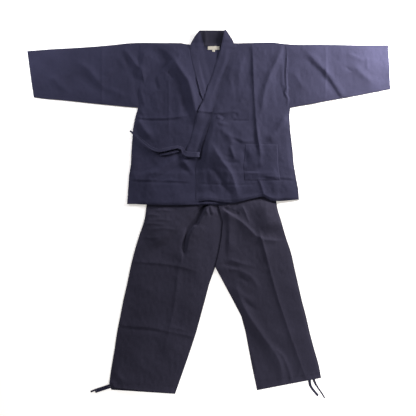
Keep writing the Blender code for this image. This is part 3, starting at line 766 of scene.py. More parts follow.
def jacketLattice(left, right, hem, top, cell):
    # rows between a left and a right edge; the end rows follow the hem and the shoulder
    shoulder = jacket["shoulderY"] * mm
    level = spread(shoulder, cell)
    l, r = left(level)[:, None], right(level)[:, None]
    share = (spread(float((r - l).mean()), cell) / float((r - l).mean()))[None, :]
    x = l + (r - l) * share
    y = np.repeat(level[:, None], x.shape[1], axis=1)
    nearHem = np.clip(1.0 - level / (jacket["hemBlend"] * mm), 0.0, 1.0)[:, None]
    nearTop = np.clip((level - shoulder) / (jacket["shoulderBlend"] * mm) + 1.0, 0.0, 1.0)[:, None]
    hemY, topY = hem(x), top(x)
    y = y + nearHem * hemY + nearTop * (topY - shoulder)
    return x, y, (r - l) * share, (r - l) * (1 - share), y - hemY, topY - y


def lineOf(table, column=1, smooth=False):
    return lambda at: readTable(jacket[table], column, at, smooth)


def makeJacketBack():
    x, y, fromLeft, fromRight, low, high = jacketLattice(
        lineOf("sides"), lineOf("sides", 2), lineOf("hems"), lineOf("backTop"), jacket["backCell"])
    edge = least(fromLeft, fromRight, low, high)
    hills = jacket["backHills"]
    lift = hills["height"] * softNoise(x, y, hills["size"], hills["seed"]) * ramp(edge, 0, hills["calm"])
    piece, _ = layCloth("jacket_back_cloth", x, y, edge, lift, finishes["jacket"])
    finishSheet(piece, "jacket_back", (0.66, 0.70))


makeJacketBack()

# Sleeves: flat tubes, folded at the top and sewn below
sleeves = {
    "cell": 3.8 * mm, "middle": 1.5 * mm, "radius": 2.0 * mm, "inside": 0.35 * mm,
    "foldsFrom": 24 * mm, "cuffDrop": 0.75,
    # folds that cross the armhole seam, in the sleeve and in the front alike
    "armholes": {
        "right": (
            (7.5, 15, 9, 1.6, (-352, 672), (-342, 649), (-321, 619), (-300, 588), (-276, 564),
             (-268, 538), (-260, 512), (-246, 484)),
            (-3.0, 10, 12, 1.8, (-350, 632), (-329, 606), (-315, 574), (-300, 545), (-296, 510),
             (-294, 470), (-286, 425)),
            (2.6, 9, 9, 1.8, (-284, 512), (-275, 461), (-264, 432), (-262, 400)),
        ),
        "left": (
            (2.4, 5, 6, 1.6, (326, 700), (325, 609), (323, 544), (324, 476), (322, 440)),
            (-2.0, 5, 5, 1.5, (318, 690), (316, 609), (314, 544), (316, 480)),
            (2.6, 5, 6, 1.6, (338, 500), (316, 470), (328, 438), (320, 400)),
        ),
    },
    "right": {
        # top x, y and low x, y of each section, from the armhole to the cuff
        "sections": ((-289.3, 684, -285.3, 403), (-338, 681, -333, 407), (-388, 675, -382, 412),
                     (-438, 670, -432, 417), (-500, 665, -490, 423), (-562, 661, -550, 430),
                     (-636, 657, -610, 436), (-700, 652, -668, 441), (-749, 648, -714, 448)),
        "folds": (
            (6.4, 15, 16, 1.7, (-560, 612), (-518, 585), (-487, 560), (-463, 530), (-443, 506),
             (-400, 462)),
            (-2.4, 18, 18, 2.0, (-560, 560), (-515, 530), (-476, 504), (-402, 440)),
            (4.0, 16, 15, 1.8, (-650, 540), (-630, 523), (-596, 489), (-548, 452)),
            (3.8, 13, 14, 1.8, (-440, 505), (-420, 536), (-390, 575)),
            (2.4, 12, 14, 1.8, (-420, 490), (-376, 470), (-330, 440)),
            (2.4, 4, 8, 1.1, (-438, 760), (-435, 545), (-431, 340)),
            (-1.4, 22, 22, 2.0, (-700, 620), (-640, 560), (-600, 540)),
            (2.0, 14, 12, 1.8, (-400, 640), (-360, 600), (-340, 560)),
        ),
    },
    "left": {
        "sections": ((321.3, 679, 335.3, 403), (370, 676, 382, 412), (434, 676, 428, 420),
                     (490, 676, 477, 430), (560, 675, 553, 444), (633, 674, 625, 458),
                     (690, 674, 690, 471), (748, 675, 749, 483)),
        "folds": (
            (-3.0, 17, 16, 1.8, (385, 640), (430, 590), (480, 540), (540, 462), (590, 385)),
            (6.4, 17, 17, 1.7, (380, 680), (430, 618), (482, 557), (520, 500), (555, 440), (600, 365)),
            (-3.2, 12, 11, 1.8, (458, 560), (494, 512), (522, 466), (546, 416), (580, 350)),
            (4.0, 15, 16, 1.8, (590, 590), (620, 562), (652, 528), (690, 488)),
            (2.0, 5, 8, 1.1, (489, 700), (486, 560), (478, 410)),
            (1.8, 6, 7, 1.4, (657, 630), (656, 590), (654, 556)),
            (-2.2, 5, 6, 1.6, (566, 584), (580, 566), (600, 556)),
            (2.2, 12, 12, 1.8, (345, 560), (372, 520), (400, 470)),
            (1.8, 10, 12, 1.8, (560, 640), (610, 620), (650, 600)),
            (-1.6, 16, 16, 2.0, (690, 640), (710, 590), (720, 540)),
        ),
    },
}


def sleeveLattice(plan):
    # rows of points across the sleeve, from the armhole to the cuff
    rows = np.array(plan["sections"], float) * mm
    topRun = runAlong(rows[:, :2])
    last = len(rows) - 1
    length = float(topRun[-1])
    run = spread(length, sleeves["cell"])
    where = np.interp(run / length, topRun / length, np.arange(len(rows)))
    section = readBetween(curveThrough(rows, 30 * len(rows)), where, last)
    top, low = section[:, :2], section[:, 2:]
    width = np.linalg.norm(top - low, axis=1)[:, None]
    share = (spread(float(width.mean()), sleeves["cell"]) / width.mean())[None, :]
    return low, top - low, width, share, run[:, None], length


def tubeFaces(lanes, around):
    # an outer and an inner skin, joined at both ends
    index = np.arange(2 * lanes * around).reshape(2, lanes, around)
    after = np.roll(index, -1, axis=2)
    outside = np.stack([index[0, :-1], after[0, :-1], after[0, 1:], index[0, 1:]], axis=-1).reshape(-1, 4)
    inside = np.stack([index[1, :-1], index[1, 1:], after[1, 1:], after[1, :-1]], axis=-1).reshape(-1, 4)
    start = np.stack([index[0, 0], index[1, 0], after[1, 0], after[0, 0]], axis=-1)
    stop = np.stack([index[0, -1], after[0, -1], after[1, -1], index[1, -1]], axis=-1)
    return np.concatenate([outside, inside, start, stop])


def makeSleeve(side, seed):
    plan = sleeves[side]
    low, across, width, share, run, length = sleeveLattice(plan)
    x = low[:, :1] + across[:, :1] * share
    y = low[:, 1:] + across[:, 1:] * share
    seam = np.minimum(share, 1 - share) * width
    inward = np.minimum(seam, run)
    lift = foldRelief(plan["folds"], x, y) * ramp(run, 0.0, sleeves["foldsFrom"]) + swell(inward)
    lift += foldRelief(sleeves["armholes"][side], x, y) + unevenness(x, y, inward, seed)
    lift = settled(lift) * ramp(seam, *seamFade)
    wall, middle = cloth["thickness"], sleeves["middle"]
    full = roundEdge(seam, sleeves["radius"])
    # the cuff's edge is thinner
    drop = sleeves["cuffDrop"] * wall * (1.0 - roundEdge(length - run, cloth["edgeRadius"]))
    upperOut = middle + (2 * wall + sleeves["inside"] + lift - middle) * full
    lowerOut = middle * (1.0 - full)
    inset = np.clip(share, wall / width, 1 - wall / width)
    xIn = low[:, :1] + across[:, :1] * inset
    yIn = low[:, 1:] + across[:, 1:] * inset
    upperIn = np.maximum(upperOut - wall, middle + 0.1 * mm)
    lowerIn = np.minimum(lowerOut + wall, middle - 0.1 * mm)
    upperOut = np.maximum(upperOut - drop, upperIn + 0.15 * mm)
    skins = []
    for gx, gy, under, over in ((x, y, lowerOut, upperOut), (xIn, yIn, lowerIn, upperIn)):
        skins.append(np.stack([np.concatenate([there, back[:, ::-1]], axis=1)
                               for there, back in ((gx, gx), (gy, gy), (under, over))], axis=-1))
    faces = tubeFaces(*skins[0].shape[:2])
    if side == "left":
        faces = faces[:, ::-1]
    points = np.concatenate([skin.reshape(-1, 3) for skin in skins])
    girth = np.concatenate([share, 2 - share[:, ::-1]], axis=1) * width
    uv = np.stack([girth, run * np.ones_like(girth)], axis=-1).reshape(-1, 2)
    edge = least(seam, run, length - run)
    wear = wearNear(np.concatenate([edge, edge[:, ::-1]], axis=1)).ravel()
    piece = meshPiece("sleeve_" + side + "_cloth", points, faces, np.tile(uv, (2, 1)), np.tile(wear, 2),
                      finishes["jacket"])
    finishSheet(piece, "sleeve_" + side, (0.55, length))


makeSleeve("right", 41)
makeSleeve("left", 53)
print("sleeves laid")

# Collar behind the neck, and the label below it
neck = {
    "rise": 11.0 * mm, "riseFrom": (672 * mm, 735 * mm), "cell": 3 * mm, "width": 140 * mm,
    "thickness": 2.0 * mm, "radius": 2.4 * mm,
    "rows": ((669, -74, 107), (710, -54, 91), (734.5, -36, 72)),
    "folds": ((1.6, 6, 9, 1.6, (-14, 745), (-10, 705), (-12, 665)), (-1.5, 10, 8, 1.8, (-26, 740),
              (-24, 700), (-20, 668))),
    "label": {"centre": (23.5, 660.5), "size": (49, 15)}, "tab": {"centre": (23, 648.5), "size": (11, 8)},
    "patch": {"cell": 2 * mm, "lift": 0.35 * mm, "size": 9 * mm, "calm": 4 * mm, "thickness": 0.6 * mm,
              "inset": 1.4 * mm},
}


def bandLattice(level, left, right, share):
    # level rows between two edges
    left, right = left[:, None], right[:, None]
    x = left + (right - left) * share
    return x, np.repeat(level[:, None], x.shape[1], axis=1), right - left


def makeBackCollar():
    level = spread((neck["rows"][-1][0] - neck["rows"][0][0]) * mm, neck["cell"]) + neck["rows"][0][0] * mm
    left, right = (readTable(neck["rows"], k, level) for k in (1, 2))
    share = (spread(neck["width"], neck["cell"]) / neck["width"])[None, :]
    x, y, width = bandLattice(level, left, right, share)
    edge = least(share * width, (1 - share) * width, level[-1] - y, y - level[0])
    lift = neck["rise"] * ramp(y, *neck["riseFrom"]) + foldRelief(neck["folds"], x, y)
    # the darker neck cloth is painted shade inside the collar
    piece, _ = layCloth("collar_back_cloth", x, y, edge, lift, finishes["neck"],
                        thickness=neck["thickness"], radius=neck["radius"])
    finishSheet(piece, "collar_back", (0.18, 0.065))


def makePatch(name, plan, seed):
    patch = neck["patch"]
    width, depth = (v * mm for v in plan["size"])
    u, v = np.meshgrid(spread(width, patch["cell"]) - width / 2, spread(depth, patch["cell"]) - depth / 2)
    x, y = u + plan["centre"][0] * mm, v + plan["centre"][1] * mm
    edge = np.minimum(width / 2 - np.abs(u), depth / 2 - np.abs(v))
    lift = patch["lift"] * (1 + softNoise(x, y, patch["size"], seed)) * ramp(edge, 0, patch["calm"])
    piece, _ = layCloth(name, x, y, edge, lift, finishes["label"], thickness=patch["thickness"],
                        radius=patch["thickness"])
    ends = [x.min() + patch["inset"], x.max() - patch["inset"]]
    for s in (-1, 1):
        sew("label", ends, [y.mean() + s * (depth / 2 - patch["inset"])] * 2)
    return piece


makeBackCollar()
neckLabel = makePatch("neck_label_cloth", neck["label"], 61)
sizeTab = makePatch("size_tab_cloth", neck["tab"], 67)
finishPiece(sizeTab, "size_tab")
finishSheet(neckLabel, "neck_label", [v * mm for v in neck["label"]["size"]])
print("neck laid")

fronts = {
    "crossing": (-60 * mm, 6 * mm), "pressed": 0.85,    # how flat the over front presses what it covers
    "foldFade": (-1 * mm, 24 * mm), "sideFade": (-1 * mm, 10 * mm), "lowFade": (-6 * mm, 14 * mm),
    "underarm": (396 * mm, 412 * mm), "armholeFrom": (405 * mm, 430 * mm),
    "hemStep": 0.5 * mm, "hemStepAt": (13 * mm, 11 * mm), "hemReach": 12 * mm, "stitchDepth": 11 * mm,
    "overRise": 36 * mm, "overFade": (-6 * mm, 34 * mm), "overHem": 60 * mm, "runOn": 30 * mm,
    "edgeRow": {"inset": 5 * mm, "aboveHem": 4 * mm, "below": 185 * mm},    # under the collar's end
    "underFolds": (
        (9.5, 38, 18, 1.6, (-262, 640), (-216, 660), (-180, 650), (-154, 620), (-128, 582), (-102, 545),
         (-80, 508), (-66, 454), (-54, 400), (-42, 350), (-34, 310)),
        (-3.0, 10, 26, 1.8, (-170, 600), (-146, 570), (-120, 520), (-100, 455), (-84, 385), (-66, 330)),
        (7.0, 14, 95, 1.9, (-176, 664), (-152, 622), (-126, 582), (-102, 545), (-80, 508), (-66, 454),
         (-54, 400), (-42, 350), (-34, 300)),
        (6.0, 60, 14, 1.8, (-240, 664), (-262, 630), (-274, 590), (-272, 550), (-262, 510)),
        (-8.0, 15, 50, 1.7, (-120, 640), (-136, 624), (-160, 600), (-182, 580), (-206, 560), (-240, 530),
         (-264, 506), (-280, 486)),
        (-3.4, 7, 16, 1.7, (-230, 548), (-216, 520), (-208, 494), (-206, 470)),
        (1.8, 7, 7, 1.1, (-162, 560), (-160, 420), (-158, 250)),
        (2.2, 10, 5, 1.2, (-330, 374), (-294, 364), (-253, 359), (-196, 357), (-143, 359), (-86, 368),
         (-40, 376)),
        (-1.6, 4, 5, 1.3, (-330, 364), (-294, 355), (-253, 350), (-196, 348), (-143, 350), (-86, 359)),
        (1.6, 6, 6, 1.7, (-286, 400), (-270, 384), (-258, 368)),
        (5.5, 16, 15, 1.8, (-302, 372), (-274, 334), (-250, 300), (-216, 262)),
        (-3.0, 14, 14, 1.9, (-310, 330), (-280, 290), (-240, 256)),
        (5.5, 18, 16, 1.7, (-108, 206), (-140, 182), (-168, 160), (-210, 134), (-250, 120)),
        (-4.5, 16, 18, 1.9, (-90, 170), (-130, 140), (-180, 112), (-240, 96)),
        (-2.6, 16, 16, 1.9, (-310, 128), (-252, 146), (-190, 172)),
        (5.0, 13, 12, 1.7, (-112, 190), (-76, 152), (-40, 118)),
        (-3.2, 10, 10, 1.8, (-116, 168), (-88, 140), (-60, 112)),
        (-1.6, 5, 6, 1.2, (-340, 98), (-250, 93), (-153, 90), (-20, 84)),
        (1.4, 6, 5, 1.4, (-330, 106), (-250, 101), (-153, 98), (-20, 92)),
        (-3.5, 6, 6, 1.6, (-170, 554), (-160, 548), (-148, 532), (-142, 524)),
        (2.0, 16, 16, 2.0, (-286, 246), (-236, 216), (-200, 204)),
        (2.0, 18, 16, 2.0, (-250, 62), (-180, 44), (-90, 52)),
        (2.2, 14, 16, 1.9, (-126, 470), (-118, 410), (-108, 340)),
        (1.8, 14, 14, 2.0, (-220, 460), (-210, 420), (-214, 380)),
    ),
    "overFolds": (
        (8.0, 90, 80, 1.9, (-110, 226), (-20, 220), (70, 212), (150, 204), (230, 196)),
        (4.4, 16, 7, 1.25, (180, 740), (184, 640), (186, 555), (192, 395), (202, 268), (209, 222),
         (214, 176)),
        (3.0, 9, 8, 1.6, (194, 350), (202, 268), (209, 222), (214, 182)),
        (5.2, 13, 15, 1.7, (318, 700), (300, 645), (272, 580), (247, 523), (227, 450), (219, 395),
         (204, 340)),
        (-4.0, 15, 18, 1.9, (296, 600), (288, 530), (296, 450), (312, 410)),
        (6.0, 16, 18, 1.7, (334, 386), (300, 336), (264, 285), (246, 250)),
        (3.2, 14, 7, 1.5, (-70, 386), (-20, 383), (41, 379), (90, 384), (140, 378)),
        (-2.4, 6, 6, 1.6, (22, 372), (45, 374), (63, 361), (52, 343), (28, 344)),
        (2.0, 6, 6, 1.7, (32, 362), (46, 358), (54, 352)),
        (-1.6, 6, 7, 1.6, (66, 384), (96, 382), (116, 372), (110, 358)),
        (2.2, 8, 8, 1.8, (30, 356), (44, 342), (70, 332), (100, 338)),
        (-1.8, 5, 6, 1.4, (78, 352), (130, 348), (184, 350)),
        (2.6, 14, 14, 1.8, (30, 320), (66, 300), (96, 270)),
        (3.6, 12, 13, 1.8, (72, 300), (92, 270), (98, 238)),
        (-1.6, 8, 8, 1.7, (92, 280), (118, 262), (140, 250)),
        (2.4, 12, 8, 1.6, (80, 292), (100, 278), (122, 268), (146, 258), (178, 262), (210, 272)),
        (10.0, 12, 46, 1.25, (6, 262), (22, 236), (38, 206), (62, 168), (85, 139), (104, 94), (116, 45),
         (128, 8)),
        (-4.0, 11, 14, 1.8, (-4, 152), (32, 127), (64, 78), (96, 26)),
        (-2.0, 7, 9, 1.7, (52, 186), (64, 180), (89, 172), (118, 172), (132, 174)),
        (3.2, 7, 7, 1.5, (88, 250), (98, 212), (110, 180)),
        (-3.0, 14, 14, 1.8, (130, 240), (150, 200), (156, 150)),
        (1.5, 6, 6, 1.4, (150, 134), (180, 128), (214, 130)),
        (-1.6, 4, 4, 1.4, (136, 137), (158, 137), (180, 137), (202, 136)),
        (-1.3, 5, 6, 1.3, (206, 112), (260, 103), (320, 100), (375, 94)),
        (1.1, 6, 6, 1.5, (206, 122), (260, 112), (320, 109), (375, 102)),
        (-1.4, 5, 6, 1.3, (-70, 88), (0, 83), (120, 80), (215, 84)),
        (4.0, 9, 7, 1.2, (200, 112), (208, 90), (218, 60), (228, 16)),
        (3.0, 12, 30, 1.6, (208, 240), (208, 190), (214, 150)),
        (5.0, 60, 80, 2.0, (290, 330), (288, 240), (290, 150), (296, 60), (300, -60)),
        (3.0, 16, 14, 1.9, (140, 640), (130, 560), (128, 480)),
        (2.0, 12, 12, 1.9, (80, 560), (96, 500), (84, 440)),
        (1.8, 12, 12, 1.9, (150, 440), (120, 410), (90, 400)),
    ),
    # x, then how far the hem of the under front and of the over front stands off
    "hemLifts": ((-330, 3.0, 0), (-290, 2.0, 0), (-250, 1.0, 0), (-200, 1.6, 0), (-140, 1.0, 0),
                 (-90, 1.6, 0), (-40, 1.2, 0), (20, 0.3, 1.0), (90, 0.1, 1.0), (150, 0.0, 1.2),
                 (205, 0.0, 1.8), (240, 0.0, 1.2), (290, 0.0, 0.7), (364, 0.0, 0.4)),
    "pocket": {"low": 98, "high": 247, "shares": (0.479, 0.841), "gap": 0.06 * mm, "thickness": 1.0 * mm,
               "rise": (-1 * mm, 22 * mm), "slack": 0.8 * mm, "slackSide": 40 * mm, "slackLow": 60 * mm,
               "wear": 0.3, "inset": 3 * mm, "turned": 22 * mm},
}


def crossing(x, y):
    # 1 where the over front lies on the under front, fading at its edge
    return ramp(x - lineOf("overEdge")(y), *fronts["crossing"])


def hemLift(x, low, column):
    # the hem's edge stands off a little, more in some places
    height = readTable(fronts["hemLifts"], column, x, smooth=True)
    return height * np.exp(-low / fronts["hemReach"])


def frontLift(folds, armhole, x, y, sewn, low, high, seed):
    # a front's relief; only the folds that cross the armhole seam keep their height there
    seam = np.minimum(sewn, high)
    lift = (foldRelief(fronts[folds], x, y) * ramp(sewn, *fronts["foldFade"]) + swell(seam)
            + unevenness(x, y, seam, seed) + fronts["hemStep"] * ramp(low, *fronts["hemStepAt"]))
    above = ramp(y, *fronts["armholeFrom"])
    lift = lift * ramp(sewn, *fronts["sideFade"]) + foldRelief(sleeves["armholes"][armhole], x, y) * above
    return lift * ramp(low, *fronts["lowFade"]) * ramp(high, *seamFade)


def sewnEdge(sewn, y):
    # the side seam is an edge up to the underarm, and above it the cloth runs on in the sleeve
    return sewn + fronts["runOn"] * ramp(y, *fronts["underarm"])


def sewHem(x, y, low):
    row = nearest(low[:, 0], fronts["stitchDepth"])
    sew("jacket", x[row][3:-3], y[row][3:-3])


def makeUnderFront():
    x, y, sewn, under, low, high = jacketLattice(
        lineOf("sides"), lineOf("underEdge"), lineOf("hems", 2, True), lineOf("shoulder"), jacket["cell"])
    lift = frontLift("underFolds", "right", x, y, sewn, low, high, 71)
    lift = lift * (1.0 - fronts["pressed"] * crossing(x, y)) + hemLift(x, low, 1)
    piece, _ = layCloth("jacket_front_right_cloth", x, y, least(sewnEdge(sewn, y), under, low, high), lift,
                        finishes["jacket"])
    finishSheet(piece, "jacket_front_right", (0.40, 0.69))
    sewHem(x, y, low)


def makeOverFront():
    x, y, over, sewn, low, high = jacketLattice(
        lineOf("overEdge"), lineOf("sides", 2), lineOf("hems", 3, True), lineOf("shoulder"), jacket["cell"])
    edge = least(softly(over, fronts["overRise"], cloth["edgeRadius"]), sewnEdge(sewn, y), low, high)
    lift = frontLift("overFolds", "left", x, y, sewn, low, high, 83) * ramp(over, *fronts["overFade"])
    lift += hemLift(x, low, 2) * ramp(over, 0, fronts["overHem"])
    piece, top = layCloth("jacket_front_left_cloth", x, y, edge, lift, finishes["jacket"], **sewnDown)
    finishSheet(piece, "jacket_front_left", (0.41, 0.69))
    sewHem(x, y, low)
    plan = fronts["edgeRow"]
    line = nearest(over[0], plan["inset"])
    rows = (low[:, line] > plan["aboveHem"]) & (y[:, line] < plan["below"])
    sew("jacket", x[rows, line], y[rows, line])
    makePocket(x, y, over[0] / (over[0] + sewn[0]), top)


def makePocket(x, y, share, top):
    # the pocket takes the panel's own points, moved out by a gap
    plan = fronts["pocket"]
    columns = (share >= plan["shares"][0]) & (share <= plan["shares"][1])
    lines = (y[:, 0] >= plan["low"] * mm) & (y[:, 0] <= plan["high"] * mm)
    cut = np.ix_(lines, columns)
    x, y = x[cut], y[cut]
    fromSide, fromLow = np.minimum(x - x[:, :1], x[:, -1:] - x), y - y[:1]
    rim = least(fromSide, fromLow, y[-1:] - y)
    low = (top[cut] + plan["gap"]
           + plan["slack"] * ramp(fromSide, 0, plan["slackSide"]) * ramp(fromLow, 0, plan["slackLow"]))
    high = low + plan["thickness"] * (sewnDown["rim"] + (1 - sewnDown["rim"]) * ramp(rim, *plan["rise"]))
    pocket = shell("pocket_cloth", x, y, low, high, np.stack([x, y], axis=-1), plan["wear"] * wearNear(rim),
                   finishes["jacket"])
    addToPile(x, y, high)
    finishSheet(pocket, "pocket", (0.15, 0.15))
    inset, turned = plan["inset"], plan["turned"]
    corners = [(x[-1, 0] + inset, y[-1, 0] - 1 * mm), (x[0, 0] + inset, y[0, 0] + inset),
               (x[0, -1] - inset, y[0, -1] + inset), (x[-1, -1] - inset, y[-1, -1] - 1 * mm)]
    ends = list(zip(corners[:-1], corners[1:]))
    ends.append(((x[-1, 0] + inset, y[-1, 0] - turned), (x[-1, -1] - inset, y[-1, -1] - turned)))
    for start, stop in ends:
        sew("jacket", (start[0], stop[0]), (start[1], stop[1]))


bands = {
    "thickness": 1.6 * mm, "radius": 3.4 * mm, "cell": 3.0 * mm, "width": 48 * mm,
    "seamRise": 26 * mm, "stitchInset": 2.2 * mm, "leastArea": 0.0137,
    "hills": 0.35 * mm, "hillSize": 30 * mm, "ripple": 0.25 * mm, "rippleSize": 9 * mm,
    "standFrom": (590 * mm, 700 * mm), "standReach": 26 * mm,       # the collar stands up at the neck
    "endLift": 3.5 * mm, "endFrom": (260 * mm, 196 * mm), "endSide": (60 * mm, 0),
    "right": {
        "stand": 0.4 * mm, "fold": 22 * mm,
        # y, then x of the outer (sewn) and of the inner (folded) edge
        "rows": ((731, -37, -34), (712, -53, -28), (675, -73, -17), (640, -72, -12), (596, -63, -5),
                 (536, -49, 12), (489, -37, 22), (452, -27, 32), (399, -4, 56), (320, 22, 80),
                 (208, 56, 114)),
        "folds": ((1.2, 9, 9, 1.8, (-44, 690), (-40, 620), (-26, 540)),),
    },
    "left": {
        "stand": 9.0 * mm, "fold": 6 * mm,
        "rows": ((734, 73, 69), (719, 85, 66), (682, 107, 58), (650, 103, 51), (601, 90, 33),
                 (549, 65, 17), (521, 57, 8), (471, 44, -7), (441, 36, -16), (382, 17, -42),
                 (331, 4, -57), (274, -14, -71), (235, -27, -84), (193, -33, -95)),
        "folds": ((3.0, 10, 6, 1.4, (-100, 389), (-20, 384), (80, 378)), (-3.2, 8, 12, 1.8, (-90, 376),
                  (-20, 371), (60, 367)), (1.2, 8, 10, 1.8, (78, 690), (66, 600), (30, 500), (-6, 400)),
                  (1.2, 10, 10, 1.8, (-20, 340), (-40, 280), (-56, 220))),
    },
}


def makeBand(side, seed):
    plan = bands[side]
    ys = [row[0] for row in plan["rows"]]
    level = spread((max(ys) - min(ys)) * mm, bands["cell"]) + min(ys) * mm
    outer, inner = (readTable(plan["rows"], k, level, smooth=True) for k in (1, 2))
    left, right = (outer, inner) if side == "right" else (inner, outer)
    share = (spread(bands["width"], bands["cell"]) / bands["width"])[None, :]
    x, y, width = bandLattice(level, left, right, share)
    fromInner = (1 - share) * width if side == "right" else share * width
    edge = least(softly(fromInner, plan["fold"], bands["radius"]),
                 softly(width - fromInner, bands["seamRise"], bands["radius"]), level[-1] - y, y - level[0])
    lift = foldRelief(plan["folds"], x, y) + bands["hills"] * softNoise(x, y, bands["hillSize"], seed)
    lift += bands["ripple"] * softNoise(x * 0.6, y, bands["rippleSize"], seed + 1)
    lift += plan["stand"] * ramp(y, *bands["standFrom"]) * np.exp(-fromInner / bands["standReach"])
    if side == "right":
        lift *= 1.0 - fronts["pressed"] * crossing(x, y)
    else:
        lift += bands["endLift"] * ramp(y, *bands["endFrom"]) * ramp(fromInner, *bands["endSide"])
    piece, _ = layCloth("collar_" + side + "_cloth", x, y, edge, lift, finishes["collar"],
                        thickness=bands["thickness"], radius=bands["radius"],
                        uv=np.stack([share * width, y], axis=-1), **sewnDown)
    finishSheet(piece, "collar_" + side, (0.075, 0.60))
    fromFold = (share[0] if side == "left" else 1 - share[0]) * bands["width"]
    line = nearest(fromFold, bands["width"] - bands["stitchInset"])
    sew("collar", x[3:-3, line], y[3:-3, line])


makeUnderFront()
makeBand("right", 91)
makeOverFront()
makeBand("left", 97)
print("fronts and collar laid")

ties = {
    "thickness": 2.0 * mm, "cell": 2 * mm, "radius": 1.8 * mm, "rootSlope": 0.2, "cup": 0.5 * mm,
    "hills": 0.2 * mm, "hillSize": 12 * mm, "stitchInset": 2 * mm,
    "tie_right": {
        "width": 10, "count": 24, "points": ((-118, 222), (-145, 213), (-170, 208), (-193, 205)),
        "lift": (2.0, 3.0, 2.5, 1.0), "narrow": (1, 1.02, 1, 1)},
    "tie_left": {
        "width": 14, "count": 60,
        "points": ((-34, 204), (-88, 207), (-105, 229), (-128, 235), (-160, 227), (-193, 220),
                   (-226, 229), (-250, 247), (-270, 265), (-299, 291), (-318, 306)),
        "lift": (0.0, 0.2, 2.0, 3.6, 4.0, 3.0, 3.0, 3.5, 3.5, 3.0, 2.0),
        "narrow": (1.5, 1.5, 1.0, 1.0, 1.0, 1.0, 0.95, 0.9, 0.8, 0.7, 0.45)},
}


def makeTie(node, seed):
    plan = ties[node]
    rows = np.column_stack([np.array(plan["points"], float), plan["lift"], plan["narrow"]])
    line = evenly(curveThrough(rows, 400) * [mm, mm, mm, 1], plan["count"])[::-1]
    ahead = np.gradient(line[:, :2], axis=0)
    ahead /= np.linalg.norm(ahead, axis=1)[:, None]
    aside = np.stack([-ahead[:, 1], ahead[:, 0]], axis=1)
    half, narrow = plan["width"] * mm / 2, line[:, 3:]
    across = (spread(2 * half, ties["cell"]) - half)[::-1]
    x = line[:, :1] + aside[:, :1] * across * narrow
    y = line[:, 1:2] + aside[:, 1:] * across * narrow
    length = float(stepLengths(line[:, :2]).sum())
    run = np.linspace(0, length, len(line))[:, None] * np.ones_like(x)
    # its root lies flat, pressed by the stitches
    edge = least((half - np.abs(across)) * narrow, run, ties["rootSlope"] * (length - run))
    lift = (line[:, 2:3] + ties["cup"] * (across / half) ** 2
            + ties["hills"] * softNoise(x, y, ties["hillSize"], seed))
    piece, _ = layCloth(node + "_cloth", x, y, edge, lift, finishes["tie"], thickness=ties["thickness"],
                        radius=ties["radius"], uv=np.stack([across * np.ones_like(x), run], axis=-1))
    finishSheet(piece, node, (2 * half * float(narrow.max()), length))
    for s in (-1, 1):
        k = nearest(across, s * (half - ties["stitchInset"]))
        sew("tie", x[2:-2, k], y[2:-2, k])


makeTie("tie_right", 101)
makeTie("tie_left", 103)
print("ties laid")

stitchTree = makeStitchTree()
for group, rows in stitchRows.items():
    points, edges = [], []
    for row in rows:
        edges += [(len(points) + i, len(points) + i + 1) for i in range(len(row) - 1)]
        points += list(row)
    piece = runTree(group + "_stitches", points, edges, stitchTree, stitches["size"],
                    finishes["label" if group == "label" else "thread"])
    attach(piece, bodyName)
print("stitches sewn")

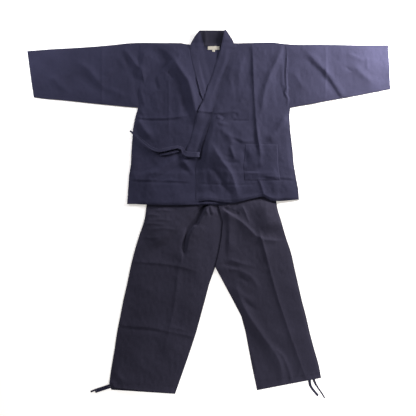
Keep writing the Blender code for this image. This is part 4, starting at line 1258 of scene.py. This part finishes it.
studio = {
    # painted light: the floor glows a little, less where the window lights it, so that it stays white; near
    # the clothes the glow is weaker and warm, which paints their shadows beige
    "floor": {"size": 12.0, "drop": 0.4 * mm, "colour": (0.90, 0.89, 0.86, 1.0),
              "near": (0.45, 0.75, 0.0), "from": 0.70, "to": 1.70,
              "nearGlow": (0.340, 0.320, 0.285, 1.0), "farGlow": (0.600, 0.580, 0.550, 1.0)},
    "sky": {"colour": (0.84, 0.88, 1.0, 1.0), "strength": 0.04},
    "lights": {
        "window": {"place": (1.05, 0.85, 0.34), "aim": (0.0, 0.0, 0.0), "size": (0.40, 0.26), "power": 46.0,
                   "colour": (0.96, 0.93, 0.96)},
        "fill": {"place": (-1.25, 1.05, 0.60), "aim": (-0.5, 0.4, 0.0), "size": (0.7, 0.5), "power": 19.5,
                 "colour": (0.91, 0.92, 1.03)},
        "top": {"place": (0.1, 1.85, 0.85), "aim": (0.0, 0.0, 0.0), "size": (0.9, 0.4), "power": 9.0,
                "colour": (0.93, 0.94, 1.0)},
        "low": {"place": (0.7, -1.5, 0.7), "aim": (0.1, -0.5, 0.0), "size": (0.7, 0.4), "power": 20.0,
                "colour": (0.97, 0.96, 1.0)},
    },
}


def makeLight(name, plan):
    data = bpy.data.lights.new(name, "AREA")
    data.shape = "RECTANGLE"
    data.size, data.size_y = plan["size"]
    data.energy = plan["power"]
    data.color = plan["colour"]
    lamp = newObject(name, data)
    lamp.location = plan["place"]
    lamp.rotation_euler = (Vector(plan["aim"]) - lamp.location).to_track_quat("-Z", "Y").to_euler()


def makeFloor():
    plan = studio["floor"]
    half = plan["size"] / 2
    mesh = bpy.data.meshes.new("floor")
    corners = ((-half, -half), (half, -half), (half, half), (-half, half))
    mesh.from_pydata([(x, y, -plan["drop"]) for x, y in corners], [], [(0, 1, 2, 3)])
    paper = Finish("paleFloor")
    place = paper.add("TexCoord", output=3)
    away = paper.add("VectorMath", {"operation": "DISTANCE"}, output=1, i0=place, i1=plan["near"])
    share = paper.add("MapRange", {"interpolation_type": "SMOOTHSTEP"}, i0=away, i1=plan["from"],
                      i2=plan["to"])
    glow = paper.add("Mix", {"data_type": "RGBA"}, output=2, i0=share, i6=plan["nearGlow"],
                     i7=plan["farGlow"])
    paper.set(Base_Color=plan["colour"], Roughness=0.9, Emission_Color=glow, Emission_Strength=1.0,
              Specular_IOR_Level=0.1)
    mesh.materials.append(paper.material)
    newObject("floor", mesh)


def makeSky():
    world = bpy.data.worlds.new("room")
    world.use_nodes = True
    background = world.node_tree.nodes["Background"].inputs
    background["Color"].default_value = studio["sky"]["colour"]
    background["Strength"].default_value = studio["sky"]["strength"]
    bpy.context.scene.world = world


makeFloor()
makeSky()
for name, light in studio["lights"].items():
    makeLight(name, light)
bpy.context.scene.view_settings.view_transform = "Standard"
print("studio lit")
